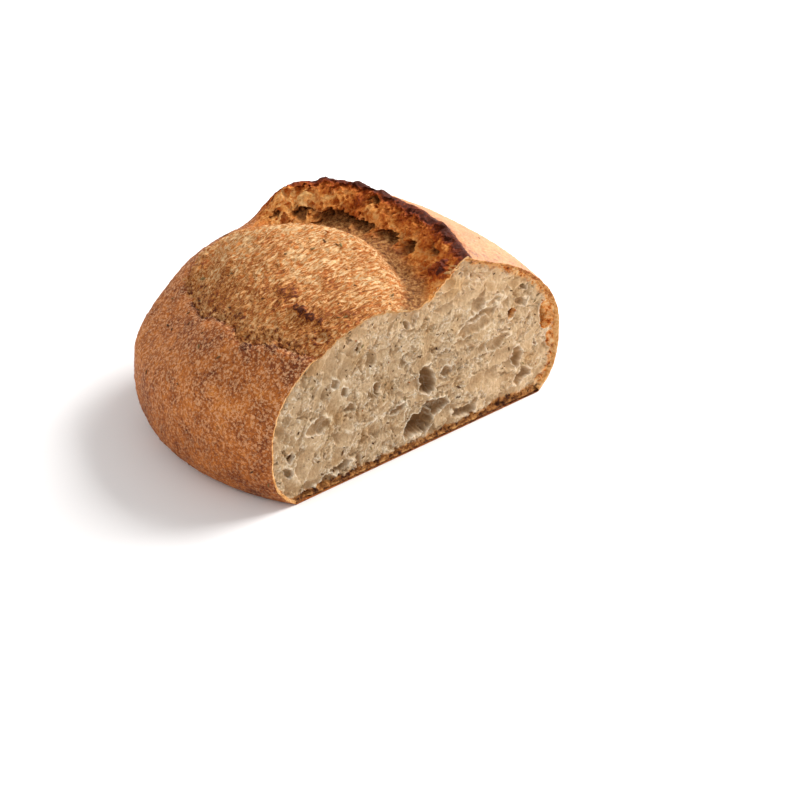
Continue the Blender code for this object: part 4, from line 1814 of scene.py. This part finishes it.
@dataclass
class Studio:
    """The floor, the light and the camera.

    Attributes:
        shift: how far the loaf's middle lies from the origin.
        azimuth: the camera's turn about the loaf.
        elevation: how high over the horizon it stands.
        place: where it stands, from the loaf's middle.
        lens: its focal length in mm.
        sensor: its sensor's width in mm.
    """

    shift: Vector
    azimuth: float = math.radians(-42.0)
    elevation: float = math.radians(30.0)
    place: tuple[float, float, float] = (-0.64876, -0.75017, 0.57781)
    lens: float = 108.0
    sensor: float = 36.0

    def floor(self) -> None:
        """Makes the floor."""
        mesh = bmesh.new()
        bmesh.ops.create_grid(mesh, x_segments=1, y_segments=1, size=6.0)
        floor = object_from(mesh, "floor", StageFinish().make())
        floor.location.z = -0.0002

    def lamp(self, name: str, place: tuple[float, float, float], size: float, power: float) -> None:
        """Makes one soft square light.

        Args:
            name: its name.
            place: where it hangs.
            size: its side in metres.
            power: its strength in watts.
        """
        data = bpy.data.lights.new(name, "AREA")
        data.size, data.energy = size, power
        lamp = bpy.data.objects.new(name, data)
        lamp.location = place
        way = Vector((0.0, 0.0, 0.04)) - Vector(place)
        lamp.rotation_mode = "QUATERNION"
        lamp.rotation_quaternion = way.to_track_quat("-Z", "Y")
        bpy.context.scene.collection.objects.link(lamp)

    def world(self, strength: float) -> None:
        """Lights everything evenly in white.

        Args:
            strength: how bright the white is.
        """
        world = bpy.data.worlds.new("white")
        world.use_nodes = True
        background = world.node_tree.nodes["Background"]
        background.inputs["Color"].default_value = (1.0, 1.0, 1.0, 1.0)
        background.inputs["Strength"].default_value = strength
        bpy.context.scene.world = world

    def camera(self) -> None:
        """Makes the camera at the photograph's angle."""
        data = bpy.data.cameras.new("camera")
        data.sensor_width, data.lens = self.sensor, self.lens
        data.clip_start = 0.01
        camera = bpy.data.objects.new("camera", data)
        level = math.cos(self.elevation)
        right, ahead = math.sin(self.azimuth) * level, math.cos(self.azimuth) * level
        back = Vector((right, -ahead, math.sin(self.elevation)))
        camera.location = Vector(self.place) + self.shift
        camera.rotation_mode = "QUATERNION"
        camera.rotation_quaternion = back.to_track_quat("Z", "Y")
        bpy.context.scene.collection.objects.link(camera)
        bpy.context.scene.camera = camera

    def build(self) -> None:
        """Sets up the floor, the lights and the camera."""
        self.floor()
        self.world(0.56)
        self.lamp("key", (1.43, -0.27, 1.22), 1.25, 59.0)
        self.lamp("fill", (-1.40, 0.35, 1.20), 1.5, 8.0)
        self.camera()
        bpy.context.scene.view_settings.view_transform = "Standard"


@dataclass
class Loaf:
    """The whole loaf: its crust, its crumb and the flecks in both.

    Attributes:
        form: the loaf's form.
        inner: x and z of a place well inside the cut face.
        sectors: how many points the crumb's outline has at most.
    """

    form: LoafForm = field(default_factory=LoafForm)
    inner: tuple[float, float] = (0.008, 0.036)
    sectors: int = 1400

    def centre(self) -> None:
        """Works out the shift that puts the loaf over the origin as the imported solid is."""
        low, _ = CAD_BOX
        self.form.shift = Vector((SHIFT_X, low.y - self.form.dome.cut_y, 0.0))

    def cut_outline(self, shells: list[bpy.types.Object]) -> np.ndarray:
        """The crust's edge on the cut face.

        Args:
            shells: the crust's objects.

        Returns:
            Rows of x and z in the form's frame, in order round the face.
        """
        points = []
        for shell in shells:
            rim = shell.data.attributes[Zone.RIM.value]
            for vertex, share in zip(shell.data.vertices, rim.data):
                if share.value == 0.0 and vertex.co.y < self.form.dome.cut_y + self.form.shift.y + ON_PLANE:
                    points.append((vertex.co.x - self.form.shift.x, vertex.co.z))
        points = np.array(points)
        offset = points - np.array(self.inner)
        around, reach = np.arctan2(offset[:, 1], offset[:, 0]), np.hypot(offset[:, 0], offset[:, 1])
        sector = np.floor((around + math.pi) / (2 * math.pi) * self.sectors).astype(int)
        groups = [np.nonzero(sector == found)[0] for found in np.unique(sector)]
        return points[[members[np.argmax(reach[members])] for members in groups]]

    def build(self) -> None:
        """Makes every piece and ties it to the loaf's node."""
        self.centre()
        crust = CrustFinish().make()
        shells = CrustShell(self.form).build(crust)
        crumbs = CrumbFace(self.form, self.cut_outline(shells)).build(CrumbFinish().make())
        flecks = SeedFlecks().build(crumbs, shells, FleckFinish().make())
        for piece in (*shells, *crumbs, flecks):
            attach(piece, BODY)
            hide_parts(NODE)
            log.info("%s has %d vertices", piece.name, len(piece.data.vertices))


def main() -> None:
    """Builds the loaf's pieces, its floor, its light and its camera."""
    logging.basicConfig(level=logging.INFO, format="%(message)s")
    loaf = Loaf()
    loaf.build()
    Studio(loaf.form.shift).build()


if __name__ == "__main__":
    main()
